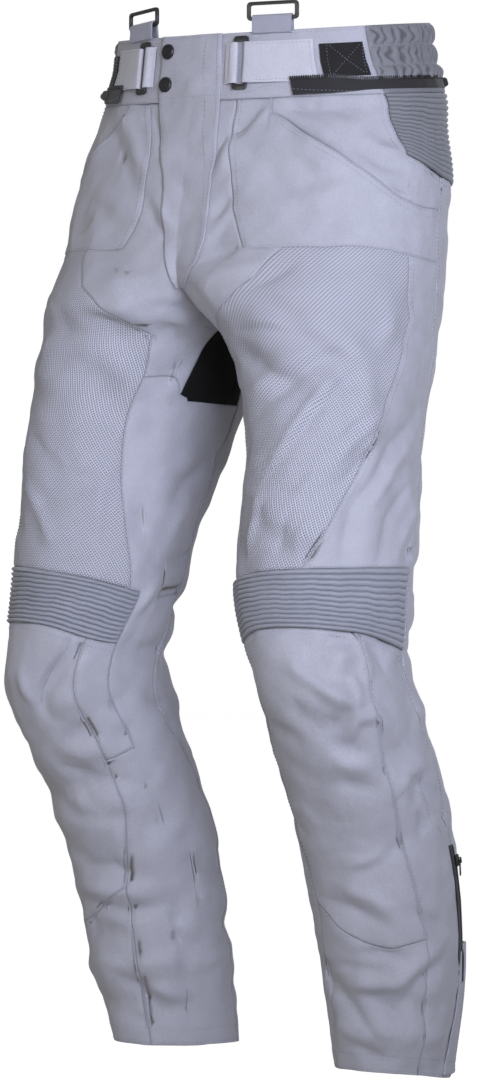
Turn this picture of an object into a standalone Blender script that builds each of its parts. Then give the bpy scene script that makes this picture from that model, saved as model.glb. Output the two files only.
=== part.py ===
"""Motorcycle trousers, filled out as worn, in metres.

+Z is up, the front faces -Y and the wearer's left is +X. The origin is the middle of the waist, at half
the height of the waistband. Every place on the cloth is given by a level, which is a height before the
waist's tilt, and an angle round the leg: 0 on the inner side, 90 in front, 180 outside, 270 behind.
"""
import math

import bmesh
import bpy
from mathutils import Matrix, Vector

# Thicknesses and clearances
CLOTH = 0.002
SEAM_GAP = 0.00032
BAND_OUT = 0.0015
BAND_IN = 0.002
LAYER_GAP = 0.0005
LAYER = 0.0014
CENTRE_GAP = 0.0002

# Relief of the accordion panels and of the gathered elastic
RIB_DEPTH = 0.0032
KNEE_RIBS = 12
YOKE_RIBS = 16
GATHER_DEPTH = 0.0030

# Belt adjusters, a flat ring on each side of the fly with a strap through it
# columns: ring's angle, strap's end, tape's start and end
ADJUSTERS = {"left": (109.0, 132.5, 134.5, 151.5), "right": (112.0, 135.0, 137.0, 151.5)}
STRAP_WIDTH = 0.042
STRAP_LAYER = 0.0012
BUCKLE_WIDTH = 0.016
BUCKLE_HEIGHT = 0.055
BUCKLE_SIDE_BAR = 0.003
BUCKLE_END_BAR = 0.0055
BUCKLE_THICKNESS = 0.0025

# Brace rings on webbing loops above the waistband
BRACE_ANGLES = {"left": 119.0, "right": 116.5}
BRACE_WIDTH = 0.055
BRACE_REACH = 0.0155
BRACE_BAR = 0.0035
BRACE_SIDE_BAR = 0.004
BRACE_THICKNESS = 0.003
BRACE_AXIS_RISE = 0.013
WEBBING_WIDTH = 0.042
WEBBING = 0.0014
WEBBING_TAIL = 0.024

# Leg zips at the outseam
ZIP_TOP = -0.790
ZIP_SLIDER = -0.806
ZIP_TAPE = (-0.42, 0.0, 0.26)
ZIP_LIFT = 0.0009
SLIDER_SIZE = (0.008, 0.0032, 0.011)
PULL_LENGTH = 0.017
PULL_WIDTH = 0.005
PULL_THICKNESS = 0.0011

# Snap fasteners on the fly shield, as distance from its middle and level
SNAP_RADIUS = 0.008
SNAP_HEIGHT = 0.003
SNAPS = (("snap_upper", -0.037, 0.016), ("snap_lower", -0.039, -0.018))

# Cross sections of one leg, which meet in the middle above the crotch
# columns: level, centre out, centre back, half width, depth in front, depth behind, roundness, toe-out
SECTIONS = (
    (0.040, 0.000, 0.000, 0.182, 0.121, 0.118, 2.0, 0.0),
    (0.000, 0.000, 0.000, 0.187, 0.124, 0.122, 2.0, 0.0),
    (-0.030, 0.006, 0.000, 0.192, 0.127, 0.129, 2.0, 0.0),
    (-0.045, 0.009, -0.002, 0.194, 0.127, 0.131, 2.0, 0.0),
    (-0.070, 0.012, -0.010, 0.194, 0.126, 0.132, 2.1, -0.5),
    (-0.120, 0.033, -0.022, 0.186, 0.123, 0.134, 2.1, 0.0),
    (-0.180, 0.059, -0.038, 0.162, 0.122, 0.135, 2.1, 1.5),
    (-0.235, 0.094, -0.048, 0.128, 0.133, 0.135, 2.1, 6.5),
    (-0.275, 0.115, -0.052, 0.105, 0.129, 0.132, 2.0, 10.5),
    (-0.310, 0.126, -0.057, 0.096, 0.120, 0.126, 2.0, 13.5),
    (-0.360, 0.134, -0.067, 0.086, 0.120, 0.121, 2.0, 16.5),
    (-0.420, 0.140, -0.079, 0.083, 0.113, 0.114, 2.0, 13.0),
    (-0.490, 0.147, -0.097, 0.086, 0.100, 0.100, 2.0, 2.0),
    (-0.540, 0.150, -0.104, 0.084, 0.097, 0.098, 2.0, 0.0),
    (-0.590, 0.158, -0.108, 0.076, 0.096, 0.096, 2.0, 5.5),
    (-0.640, 0.164, -0.103, 0.072, 0.096, 0.093, 2.0, 10.5),
    (-0.700, 0.164, -0.073, 0.077, 0.090, 0.090, 2.0, 9.0),
    (-0.780, 0.159, -0.034, 0.076, 0.084, 0.085, 2.0, 5.5),
    (-0.860, 0.157, -0.011, 0.073, 0.083, 0.084, 2.0, 6.5),
    (-0.940, 0.152, 0.005, 0.066, 0.081, 0.082, 2.0, 8.0),
    (-1.020, 0.145, 0.017, 0.055, 0.076, 0.076, 2.0, 9.0),
)

# How much higher the back of the waist lies than its front
# columns: level, rise
BACK_RISE = ((0.040, 0.036), (-0.030, 0.031), (-0.100, 0.019), (-0.200, 0.004), (-0.260, 0.0), (-1.1, 0.0))

# How much the waist leans down toward the wearer's left
# columns: level, height for each metre across
LEAN = ((0.040, -0.045), (-0.060, -0.045), (-0.120, -0.020), (-0.190, 0.0), (-1.1, 0.0))

# How much higher the wearer's right side's cross lines lie than the left's, and the share of it at the stations
# columns: level, rise
RIGHT_RISE = ((0.040, 0.0), (-0.045, 0.0), (-0.120, 0.007), (-0.190, 0.011), (-0.260, 0.013),
              (-0.330, 0.017), (-0.420, 0.009), (-0.510, 0.0), (-1.1, 0.0))
RISE_SHARES = (0.0, 0.0, 0.6, 1.0, 1.0, 1.0, 1.0, 1.0, 0.5, 0.0, 0.0)

# The fly's middle lies off the middle of the body, in degrees toward the wearer's left
# columns: level, degrees
FLY_SHIFT = ((0.040, -3.5), (-0.042, -3.5), (-0.074, -0.3), (-0.114, 1.3), (-0.150, 3.3), (-0.178, 5.2),
             (-0.205, 6.0), (-0.222, 3.5), (-0.240, 0.0))
FLY_SHIFT_REACH = 45.0

# The fullness of the seat on each side: place and spread across, level and spread, and depth
SEAT = {"out": 0.085, "spread": 0.060, "level": -0.150, "fall": 0.070, "depth": 0.020}

# Style lines that run down the garment
# columns: level, angle
STYLE_LINES = {
    "fly_offset": ((0.040, 12.5), (-0.042, 12.5), (-0.074, 9.8), (-0.114, 8.5), (-0.150, 9.5),
                   (-0.178, 10.0), (-0.205, 9.5), (-0.222, 6.5), (-0.236, 3.5), (-0.250, 3.5),
                   (-0.268, 6.0), (-0.340, 5.0), (-0.400, 7.0), (-1.020, 9.0)),
    "pocket_front": ((0.040, 108.0), (-0.042, 105.0), (-0.090, 99.0), (-0.150, 94.0), (-0.192, 94.0),
                     (-0.215, 80.0), (-0.235, 62.0), (-0.250, 44.0), (-0.266, 25.0), (-0.285, 17.0),
                     (-0.330, 10.0), (-0.400, 14.0), (-0.500, 16.0), (-0.590, 19.0), (-0.680, 15.0),
                     (-0.720, 18.0), (-0.800, 22.0), (-1.020, 20.0)),
    "mesh_inner": ((0.040, 118.0), (-0.050, 116.0), (-0.100, 113.0), (-0.194, 112.0), (-0.222, 96.0),
                   (-0.246, 74.0), (-0.262, 52.0), (-0.274, 36.0), (-0.310, 30.0), (-0.400, 28.0),
                   (-0.480, 29.0), (-0.530, 25.0), (-0.590, 42.0), (-0.700, 41.0), (-0.760, 45.0),
                   (-0.800, 52.0), (-0.850, 58.0), (-0.920, 58.0), (-1.020, 55.0)),
    "mesh_outer": ((0.040, 152.0), (-0.036, 156.0), (-0.054, 158.0), (-0.074, 162.0), (-0.094, 166.0),
                   (-0.150, 169.0), (-0.262, 168.0), (-0.326, 154.0), (-0.366, 146.0), (-0.406, 138.0),
                   (-0.482, 124.0), (-0.512, 114.0), (-0.578, 151.0), (-0.640, 150.0), (-0.690, 143.0),
                   (-0.780, 142.0), (-0.834, 148.0), (-0.885, 153.0), (-1.020, 152.0)),
    "outseam": ((0.040, 186.0), (-0.036, 188.0), (-0.200, 190.0), (-0.300, 194.0), (-0.500, 196.0),
                (-0.560, 192.0), (-0.594, 188.0), (-0.700, 193.0), (-0.810, 197.0), (-1.020, 198.0)),
    "back_inseam": ((0.040, 258.0), (-0.120, 268.0), (-0.180, 276.0), (-0.235, 300.0), (-0.255, 318.0),
                    (-0.268, 330.0), (-0.300, 325.0), (-0.345, 317.0), (-0.450, 328.0), (-0.600, 340.0),
                    (-0.674, 338.0), (-0.730, 324.0), (-0.850, 320.0), (-1.020, 320.0)),
}

# The grid of cloth cells on each side: its key columns, from the middle of the front round the outside
# to the middle of the back, with the number of cells up to the next one
COLUMNS = (("centre_front", 1), ("fly_offset", 1), ("pocket_front", 1), ("mesh_inner", 6),
           ("mesh_outer", 4), ("outseam", 6), ("back_inseam", 2), ("centre_back", 0))

# The columns at which the rows' levels are given: the key ones, two between the mesh's edges and one
# in the middle of the back
STATIONS = (0, 1, 2, 3, 5, 7, 9, 13, 16, 19, 21)

# Key rows of the grid
# columns: name, cells down to the next one, levels at the stations
ROWS = (
    ("waist_top", 2, (0.032,) * 11),
    ("waist_seam", 2, (-0.036,) * 11),
    ("yoke", 1, (-0.068, -0.066, -0.062, -0.0465, -0.064, -0.086, -0.099, -0.121, -0.132, -0.140, -0.140)),
    ("pocket_mouth", 4, (-0.085, -0.082, -0.075, -0.052, -0.085, -0.121, -0.148, -0.156, -0.165, -0.170,
                         -0.170)),
    ("pocket_bottom", 3, (-0.186, -0.188, -0.192, -0.194, -0.194, -0.195, -0.201, -0.207, -0.208, -0.200,
                          -0.196)),
    ("gusset_top", 1, (-0.248, -0.248, -0.249, -0.251, -0.253, -0.253, -0.254, -0.254, -0.252, -0.249,
                       -0.248)),
    ("crotch", 2, (None, -0.267, -0.268, -0.272, -0.277, -0.277, -0.277, -0.277, -0.274, -0.268, None)),
    ("gusset_bottom", 5, (-0.336, -0.332, -0.326, -0.332, -0.334, -0.335, -0.335, -0.336, -0.338, -0.341,
                          -0.339)),
    ("knee_top", 2, (-0.540, -0.539, -0.537, -0.533, -0.521, -0.514, -0.511, -0.511, -0.520, -0.536,
                     -0.540)),
    ("knee_bottom", 3, (-0.592, -0.591, -0.590, -0.584, -0.571, -0.568, -0.573, -0.592, -0.600, -0.595,
                        -0.592)),
    ("strip_bottom", 5, (-0.700, -0.700, -0.700, -0.713, -0.712, -0.706, -0.702, -0.700, -0.700, -0.700,
                         -0.700)),
    ("shin_bottom", 4, (-0.860, -0.858, -0.852, -0.848, -0.876, -0.891, -0.883, -0.885, -0.875, -0.864,
                        -0.860)),
    ("hem", 0, (-1.022, -1.022, -1.021, -1.019, -1.018, -1.019, -1.024, -1.034, -1.032, -1.026, -1.022)),
)

# The largest folds, negative where the cloth sinks in; a degree counts as ARC metres
# columns: side (1 the wearer's left), angle and level of both ends, half width, height
ARC = 0.0016
FOLDS = (
    (1, 60, -0.300, 100, -0.345, 0.014, -0.006),
    (1, 95, -0.250, 125, -0.330, 0.013, -0.005),
    (1, 130, -0.300, 150, -0.420, 0.015, 0.004),
    (1, 70, -0.440, 120, -0.480, 0.014, 0.004),
    (1, 215, -0.520, 320, -0.560, 0.013, -0.009),
    (1, 210, -0.585, 325, -0.600, 0.014, -0.008),
    (1, 200, -0.650, 320, -0.630, 0.016, 0.006),
    (1, 100, -0.610, 150, -0.660, 0.013, 0.007),
    (1, 90, -0.650, 140, -0.705, 0.013, -0.005),
    (1, 150, -0.690, 190, -0.760, 0.014, -0.006),
    (1, 60, -0.930, 150, -0.950, 0.013, -0.005),
    (1, 70, -0.975, 170, -0.985, 0.014, 0.005),
    (1, 220, -0.900, 330, -0.930, 0.014, -0.005),
    (-1, 50, -0.275, 110, -0.262, 0.014, -0.006),
    (-1, 60, -0.330, 120, -0.300, 0.015, 0.004),
    (-1, 30, -0.420, 80, -0.440, 0.014, -0.004),
    (-1, 210, -0.515, 325, -0.555, 0.013, -0.009),
    (-1, 215, -0.590, 320, -0.605, 0.014, -0.008),
    (-1, 205, -0.640, 325, -0.655, 0.016, 0.006),
    (-1, 45, -0.600, 68, -0.655, 0.010, -0.006),
    (-1, 40, -0.730, 120, -0.750, 0.014, -0.006),
    (-1, 60, -0.790, 130, -0.775, 0.015, 0.005),
    (-1, 20, -0.870, 100, -0.890, 0.014, -0.005),
    (-1, 30, -0.930, 120, -0.940, 0.015, 0.005),
    (-1, 20, -0.980, 110, -0.975, 0.014, -0.005),
    (-1, 220, -0.910, 330, -0.895, 0.014, -0.005),
)

# Colours as seen in linear light, with roughness
MATERIALS = {
    "cloth": ((0.36, 0.36, 0.44), 0.75),
    "mesh": ((0.33, 0.33, 0.41), 0.80),
    "rib_cloth": ((0.22, 0.23, 0.31), 0.80),
    "strap_cloth": ((0.45, 0.45, 0.58), 0.70),
    "gusset_cloth": ((0.006, 0.006, 0.007), 0.90),
    "hook_tape": ((0.010, 0.009, 0.012), 0.95),
    "zip_tape": ((0.012, 0.012, 0.015), 0.80),
    "webbing": ((0.30, 0.30, 0.36), 0.80),
    "black_plastic": ((0.018, 0.018, 0.020), 0.45),
    "snap_metal": ((0.020, 0.018, 0.022), 0.35),
}


def smooth_row(rows, level):
    """Reads a table whose first column falls, along smooth curves."""
    if level >= rows[0][0]:
        return rows[0][1:]
    if level <= rows[-1][0]:
        return rows[-1][1:]
    k = max(i for i in range(len(rows) - 1) if rows[i][0] >= level)
    above, below = rows[k], rows[k + 1]
    before = rows[k - 1] if k else above
    after = rows[k + 2] if k + 2 < len(rows) else below
    span = below[0] - above[0]
    t = (level - above[0]) / span
    values = []
    for c in range(1, len(above)):
        start = (below[c] - before[c]) / (below[0] - before[0]) * span
        end = (after[c] - above[c]) / (after[0] - above[0]) * span
        values.append((2 * t**3 - 3 * t**2 + 1) * above[c] + (t**3 - 2 * t**2 + t) * start
                      + (3 * t**2 - 2 * t**3) * below[c] + (t**3 - t**2) * end)
    return tuple(values)


def straight_row(rows, level):
    """Reads the second column of a table whose first column falls, along straight lines."""
    if level >= rows[0][0]:
        return rows[0][1]
    for above, below in zip(rows, rows[1:]):
        if level >= below[0]:
            return above[1] + (below[1] - above[1]) * (above[0] - level) / (above[0] - below[0])
    return rows[-1][1]


def power(value, exponent):
    return math.copysign(abs(value) ** exponent, value)


def section_point(level, angle):
    """A point of the plain form on the wearer's left."""
    out, back, width, front_depth, back_depth, roundness, toe_out = smooth_row(SECTIONS, level)
    turn = math.radians(toe_out)
    across = -width * power(math.cos(math.radians(angle)), 2 / roundness)
    sine = math.sin(math.radians(angle))
    forward = (front_depth if sine > 0 else back_depth) * power(sine, 2 / roundness)
    x = out + across * math.cos(turn) + forward * math.sin(turn)
    y = back + across * math.sin(turn) - forward * math.cos(turn)
    if sine < 0:
        beside = (x - SEAT["out"]) / SEAT["spread"]
        below = (level - SEAT["level"]) / SEAT["fall"]
        y += SEAT["depth"] * math.exp(-beside**2 - below**2) * min(1.0, -2 * sine)
    share = (y - back + front_depth) / (front_depth + back_depth)
    return Vector((x, y, level + straight_row(BACK_RISE, level) * share))


def bisect(test, low, high):
    """The place between low and high up to which the test is true."""
    for _ in range(40):
        middle = (low + high) / 2
        if test(middle):
            low = middle
        else:
            high = middle
    return (low + high) / 2


CROTCH_LEVEL = bisect(lambda level: section_point(level, 0).x > 0, -0.30, -0.20)


def middle_angle(level, front):
    """The angle at which the leg's section meets the middle of the body, or the inseam below the crotch."""
    if level <= CROTCH_LEVEL + 1e-6:
        return 0.0 if front else 360.0
    if front:
        return bisect(lambda angle: section_point(level, angle).x < 0, 0, 170)
    return bisect(lambda angle: section_point(level, angle).x > 0, 190, 360)


def line_angle(name, level):
    """The angle of a style line, kept in order between the middle of the front and of the back."""
    front = middle_angle(level, True)
    if name == "centre_front":
        return front
    if name == "centre_back":
        return middle_angle(level, False)
    if name == "fly_offset":
        return front + straight_row(STYLE_LINES[name], level)
    angle = straight_row(STYLE_LINES[name], level)
    if name == "pocket_front":
        return max(angle, line_angle("fly_offset", level) + 4)
    if name == "back_inseam":
        return min(angle, middle_angle(level, False) - 6)
    return angle


def key_columns():
    """The column number of each style line."""
    numbers = {}
    count = 0
    for name, cells in COLUMNS:
        numbers[name] = count
        count += cells
    return numbers


def key_rows():
    """The row number of each key row."""
    numbers = {}
    count = 0
    for name, cells, _ in ROWS:
        numbers[name] = count
        count += cells
    return numbers


COLUMN = key_columns()
ROW = key_rows()
LAST_COLUMN = COLUMN["centre_back"]
LAST_ROW = ROW["hem"]


def key_level(levels, column):
    """The level of a key row at a column, from its levels at the stations."""
    table = [(-station, CROTCH_LEVEL if level is None else level) for station, level in zip(STATIONS, levels)]
    return straight_row(table, -column)


def cell_level(side, column, row):
    """The level of a side's grid line at a column, which may lie between two lines."""
    level = key_level(ROWS[-1][2], column)
    for (name, cells, levels), (_, _, next_levels) in zip(ROWS, ROWS[1:]):
        if row <= ROW[name] + cells:
            share = (row - ROW[name]) / cells
            level = key_level(levels, column) * (1 - share) + key_level(next_levels, column) * share
            break
    if side == 1:
        return level
    shares = [(-station, share) for station, share in zip(STATIONS, RISE_SHARES)]
    return level + straight_row(RIGHT_RISE, level) * straight_row(shares, -column)


def cell_angle(column, level):
    """The angle of a grid line at a level."""
    for (name, cells), (next_name, _) in zip(COLUMNS, COLUMNS[1:]):
        if column <= COLUMN[name] + cells:
            share = (column - COLUMN[name]) / cells
            return line_angle(name, level) * (1 - share) + line_angle(next_name, level) * share
    return line_angle("centre_back", level)


def fold_height(side, angle, level):
    """How far the largest folds move the cloth out."""
    total = 0.0
    for fold_side, angle_a, level_a, angle_b, level_b, width, height in FOLDS:
        if fold_side != side:
            continue
        along = Vector(((angle_b - angle_a) * ARC, level_b - level_a))
        offset = Vector(((angle - angle_a) * ARC, level - level_a))
        share = min(1.0, max(0.0, offset.dot(along) / along.length_squared))
        total += height * math.exp(-((offset - along * share).length / width) ** 2)
    return total


def canonical(side, column, row):
    """One name for a grid point that two cells or both sides share."""
    crotch = ROW["crotch"]
    if column in (0, LAST_COLUMN):
        if row == crotch:
            return (0, 0, row)
        if row < crotch:
            return (0, column, row)
        return (side, 0, row)
    return (side, column, row)


def fly_shifted(side, level, angle):
    """The side and angle of a place once the fly's middle has been moved over."""
    front = middle_angle(level, True)
    around = side * (angle - front)
    around += straight_row(FLY_SHIFT, level) * max(0.0, 1 - abs(around) / FLY_SHIFT_REACH)
    return (-side if around * side < 0 else side), front + abs(around)


def make_cage():
    """The grid's points on the form with its folds, and the cloth's direction outward at each."""
    points = {}
    for side in (1, -1):
        for row in range(LAST_ROW + 1):
            for column in range(LAST_COLUMN + 1):
                key = canonical(side, column, row)
                if key in points:
                    continue
                level = cell_level(side, column, row)
                part_side, angle = fly_shifted(side, level, cell_angle(column, level))
                point = section_point(level, angle)
                if key[0] == 0 and (column or row == ROW["crotch"]):
                    point.x = 0.0
                else:
                    beside = section_point(level, angle + 2) - section_point(level, angle - 2)
                    outward = Vector((beside.y, -beside.x, 0)).normalized()
                    point += outward * fold_height(part_side, angle, level)
                    point.x *= part_side
                point.z += straight_row(LEAN, level) * point.x
                points[key] = point
    normals = {key: Vector() for key in points}
    for side in (1, -1):
        for row in range(LAST_ROW):
            for column in range(LAST_COLUMN):
                corners = [canonical(side, column + a, row + b) for a, b in ((0, 0), (1, 0), (1, 1), (0, 1))]
                first, second, third, fourth = [points[key] for key in corners]
                normal = (third - first).cross(fourth - second) * -side
                for key in set(corners):
                    normals[key] += normal
    for key, normal in normals.items():
        if key[0] == 0 and (key[1] or key[2] == ROW["crotch"]):
            normal.x = 0.0
        normal.normalize()
    return points, normals


POINTS, NORMALS = make_cage()


def falling_diagonal(side, column, row):
    """Whether a cell is folded from its upper first corner to its lower last one, its shorter way."""
    first, second = POINTS[canonical(side, column, row)], POINTS[canonical(side, column + 1, row + 1)]
    third, fourth = POINTS[canonical(side, column + 1, row)], POINTS[canonical(side, column, row + 1)]
    return (first - second).length <= (third - fourth).length


def corner_weights(falling, a, b):
    """The shares of a cell's corners at a place on its two triangles."""
    if falling and a >= b:
        return ((0, 0, 1 - a), (1, 0, a - b), (1, 1, b))
    if falling:
        return ((0, 0, 1 - b), (1, 1, a), (0, 1, b - a))
    if a + b <= 1:
        return ((0, 0, 1 - a - b), (1, 0, a), (0, 1, b))
    return ((1, 1, a + b - 1), (1, 0, 1 - b), (0, 1, 1 - a))


def cage_place(side, column, row):
    """The place and the outward direction at any point of a side's grid."""
    low_column = min(int(column), LAST_COLUMN - 1)
    low_row = min(int(row), LAST_ROW - 1)
    falling = falling_diagonal(side, low_column, low_row)
    place = Vector()
    normal = Vector()
    for i, j, weight in corner_weights(falling, column - low_column, row - low_row):
        key = canonical(side, low_column + i, low_row + j)
        place += POINTS[key] * weight
        normal += NORMALS[key] * weight
    return place, normal.normalized()


def triangles(corners, falling):
    """A four-cornered cell's two triangles. The corners run round it from the upper first one."""
    first, second, third, fourth = corners
    if falling:
        return (first, second, third), (first, third, fourth)
    return (first, second, fourth), (second, third, fourth)


def column_at(angle, level):
    """The column of a place given by its angle and level."""
    return bisect(lambda column: cell_angle(column, level) < angle, 0, LAST_COLUMN)


def row_at(side, column, level):
    """The row of a side's place given by its column and level."""
    return bisect(lambda row: cell_level(side, column, row) > level, 0, LAST_ROW)


def make_material(name):
    colour, roughness = MATERIALS[name]
    material = bpy.data.materials.get(name) or bpy.data.materials.new(name)
    material.use_nodes = True
    shader = material.node_tree.nodes["Principled BSDF"]
    shader.inputs["Base Color"].default_value = (*colour, 1)
    shader.inputs["Roughness"].default_value = roughness
    material.diffuse_color = (*colour, 1)
    return material


def add_object(name, mesh, material):
    mesh.materials.append(make_material(material))
    thing = bpy.data.objects.new(name, mesh)
    COLLECTION.objects.link(thing)
    return thing


def finish_mesh(name, shape, material, sharp=40):
    """Turns a closed bmesh into an object whose faces point out."""
    bmesh.ops.recalc_face_normals(shape, faces=shape.faces)
    mesh = bpy.data.meshes.new(name)
    shape.to_mesh(mesh)
    shape.free()
    mesh.shade_smooth()
    mesh.set_sharp_from_angle(angle=math.radians(sharp))
    return add_object(name, mesh, material)


def edge_shift(points, faces, gap):
    """How far each point of a sheet's edge moves in, so that the whole edge lies a gap further in."""
    sides = {}
    for face in faces:
        for a, b in zip(face, face[1:] + face[:1]):
            sides.setdefault(frozenset((a, b)), []).append(face)
    inward = {}
    for edge, owners in sides.items():
        if len(owners) > 1:
            continue
        a, b = edge
        along = (points[b] - points[a]).normalized()
        middle = sum((points[key] for key in owners[0]), Vector()) / len(owners[0])
        across = middle - points[a]
        across = (across - along * across.dot(along)).normalized()
        inward.setdefault(a, []).append(across)
        inward.setdefault(b, []).append(across)
    shift = {}
    for key, directions in inward.items():
        first, last = directions[0], directions[-1]
        shift[key] = (first + last) * (gap / max(0.35, 1 + first.dot(last)))
    return shift


def wall(name, material, cells, high=0.0, low=-CLOTH, split=(1, 1), relief=None):
    """Cuts a piece of cloth from the grid and gives it its thickness.

    cells are (side, column, row). high and low are the outer and inner face's distance outward, as a
    number or a function of side, column and row. split cuts the outer face of each cell into columns
    and rows, which relief raises, over a plain inner face.
    """
    across, down = split
    high_at = high if callable(high) else lambda side, column, row: high
    low_at = low if callable(low) else lambda side, column, row: low
    coarse = {}
    coarse_normals = {}
    coarse_faces = []
    lifts = {}
    fine_faces = []
    rims = []
    for side, column, row in cells:
        ring = ((column, row), (column + 1, row), (column + 1, row + 1), (column, row + 1))
        keys = [canonical(side, *corner) for corner in ring]
        coarse_faces.append(keys)
        for key, corner in zip(keys, ring):
            coarse[key] = POINTS[key]
            coarse_normals[key] = NORMALS[key]
            lifts[key] = (high_at(side, *corner), low_at(side, *corner))
    shift = edge_shift(coarse, coarse_faces, SEAM_GAP / 2)
    seats = {key: coarse[key] + shift.get(key, Vector()) for key in coarse}

    shape = bmesh.new()
    outer = {}
    inner = {}

    def outer_vertex(side, column, row, i, j):
        """The outer face's vertex at share i/across, j/down of a cell."""
        key = canonical(side, column + i / across, row + j / down)
        key = (key[0], round(key[1], 6), round(key[2], 6))
        if key not in outer:
            place = Vector()
            normal = Vector()
            rise = 0.0
            a, b = i / across, j / down
            for m, n, weight in corner_weights(falling_diagonal(side, column, row), a, b):
                corner = canonical(side, column + m, row + n)
                place += seats[corner] * weight
                normal += coarse_normals[corner] * weight
                rise += lifts[corner][0] * weight
            if relief:
                rise += relief(side, column + a, row + b)
            outer[key] = shape.verts.new(place + normal.normalized() * rise)
        return outer[key]

    for key, place in seats.items():
        inner[key] = shape.verts.new(place + coarse_normals[key] * lifts[key][1])
    for side, column, row in cells:
        for i in range(across):
            for j in range(down):
                face = [outer_vertex(side, column, row, i + m, j + n)
                        for m, n in ((0, 0), (1, 0), (1, 1), (0, 1))]
                fine_faces += triangles(face, falling_diagonal(side, column, row))
        strips = (((0, 0), (1, 0), [(i, 0) for i in range(across + 1)]),
                  ((1, 0), (1, 1), [(across, j) for j in range(down + 1)]),
                  ((1, 1), (0, 1), [(i, down) for i in range(across, -1, -1)]),
                  ((0, 1), (0, 0), [(0, j) for j in range(down, -1, -1)]))
        for start, end, steps in strips:
            a = canonical(side, column + start[0], row + start[1])
            b = canonical(side, column + end[0], row + end[1])
            rims.append((a, b, [outer_vertex(side, column, row, i, j) for i, j in steps]))
    for face in fine_faces:
        shape.faces.new(face)
    for cell, keys in zip(cells, coarse_faces):
        for face in triangles([inner[key] for key in keys], falling_diagonal(*cell)):
            shape.faces.new(face[::-1])
    uses = {}
    for a, b, _ in rims:
        uses[frozenset((a, b))] = uses.get(frozenset((a, b)), 0) + 1
    for a, b, steps in rims:
        if uses[frozenset((a, b))] > 1:
            continue
        shape.faces.new([inner[a], steps[-1] if a > b else steps[0], inner[b]])
        for near, far in zip(steps, steps[1:]):
            shape.faces.new([inner[max(a, b)], near, far])
    return finish_mesh(name, shape, material)


def cells_of(side, columns, rows):
    """The cells between two columns and two rows, each given by number."""
    return [(side, column, row) for column in range(*columns) for row in range(*rows)]


def slab(name, material, grid, thickness):
    """A closed strip of even thickness about a grid of points, given as rows of equal length."""
    shape = bmesh.new()
    faces = []
    for k, row in enumerate(grid):
        faces.append([])
        for m, point in enumerate(row):
            ahead = grid[min(k + 1, len(grid) - 1)][m] - grid[max(k - 1, 0)][m]
            beside = row[min(m + 1, len(row) - 1)] - row[max(m - 1, 0)]
            normal = ahead.cross(beside).normalized() * (thickness / 2)
            faces[-1].append((shape.verts.new(point + normal), shape.verts.new(point - normal)))
    ends = (len(grid) - 1, len(grid[0]) - 1)
    for k in range(ends[0]):
        for m in range(ends[1]):
            corners = [faces[k][m], faces[k + 1][m], faces[k + 1][m + 1], faces[k][m + 1]]
            for layer in (0, 1):
                for face in triangles([corner[layer] for corner in corners], True):
                    shape.faces.new(face if layer == 0 else face[::-1])
    border = [(k, 0) for k in range(ends[0])] + [(ends[0], m) for m in range(ends[1])]
    border += [(k, ends[1]) for k in range(ends[0], 0, -1)] + [(0, m) for m in range(ends[1], 0, -1)]
    for (k, m), (p, q) in zip(border, border[1:] + border[:1]):
        shape.faces.new([faces[k][m][0], faces[k][m][1], faces[p][q][1], faces[p][q][0]])
    return finish_mesh(name, shape, material)


def between(start, end):
    """Start, the whole numbers between, and end: the places where a strip meets the grid's lines."""
    inside = [n for n in range(math.ceil(start - 1e-6), math.floor(end + 1e-6) + 1)
              if start + 0.02 < n < end - 0.02]
    return [start, *inside, end]


def lifted(side, column, row, height):
    """A place on the cloth moved outward."""
    place, normal = cage_place(side, column, row)
    return place + normal * height


def level_patch(side, start, end, top, bottom, lift, thickness):
    """Points over a side's grid between two columns and two levels, lifted off the grid."""
    grid = []
    for column in between(start, end):
        upper, lower = row_at(side, column, top), row_at(side, column, bottom)
        points = []
        for row in between(upper, lower):
            place, normal = cage_place(side, column, row)
            points.append(place + normal * (lift + thickness / 2))
        grid.append(points)
    return grid


def flat_ring(name, material, width, height, side_bar, end_bar, thickness, corner, frame):
    """A flat ring cut from plate: a rounded outline with a rounded opening."""
    curve = bpy.data.curves.new(name, "CURVE")
    curve.dimensions = "2D"
    curve.fill_mode = "BOTH"
    curve.extrude = thickness / 2
    outlines = ((width / 2, height / 2, corner), (width / 2 - side_bar, height / 2 - end_bar, corner / 2))
    for half_width, half_height, radius in outlines:
        spline = curve.splines.new("POLY")
        points = []
        for quarter, (sx, sy) in enumerate(((1, 1), (-1, 1), (-1, -1), (1, -1))):
            for step in range(4):
                turn = math.pi / 2 * (quarter + step / 3)
                points.append((sx * (half_width - radius) + radius * math.cos(turn),
                               sy * (half_height - radius) + radius * math.sin(turn)))
        spline.points.add(len(points) - 1)
        for point, (x, y) in zip(spline.points, points):
            point.co = (x, y, 0, 1)
        spline.use_cyclic_u = True
    curve.materials.append(make_material(material))
    ring = bpy.data.objects.new(name, curve)
    COLLECTION.objects.link(ring)
    ring.matrix_world = frame
    return ring


def frame_at(side, column, row, lift, upright=False):
    """A frame on the cloth: Y up along the cloth, or straight up, and Z outward."""
    place, _ = cage_place(side, column, row)
    up = Vector((0, 0, 1))
    if not upright:
        up = cage_place(side, column, max(0, row - 0.5))[0] - cage_place(side, column, row + 0.5)[0]
        up.normalize()
    beside = cage_place(side, column + 0.25, row)[0] - cage_place(side, max(0, column - 0.25), row)[0]
    normal = (beside * side).cross(up).normalized()
    frame = Matrix((up.cross(normal), up, normal)).transposed().to_4x4()
    frame.translation = place + normal * lift
    return frame


def box(shape, centre, size):
    """Adds a box to a bmesh."""
    matrix = Matrix.Translation(centre) @ Matrix.Diagonal((*size, 1))
    return bmesh.ops.create_cube(shape, size=1, matrix=matrix)["verts"]


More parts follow.
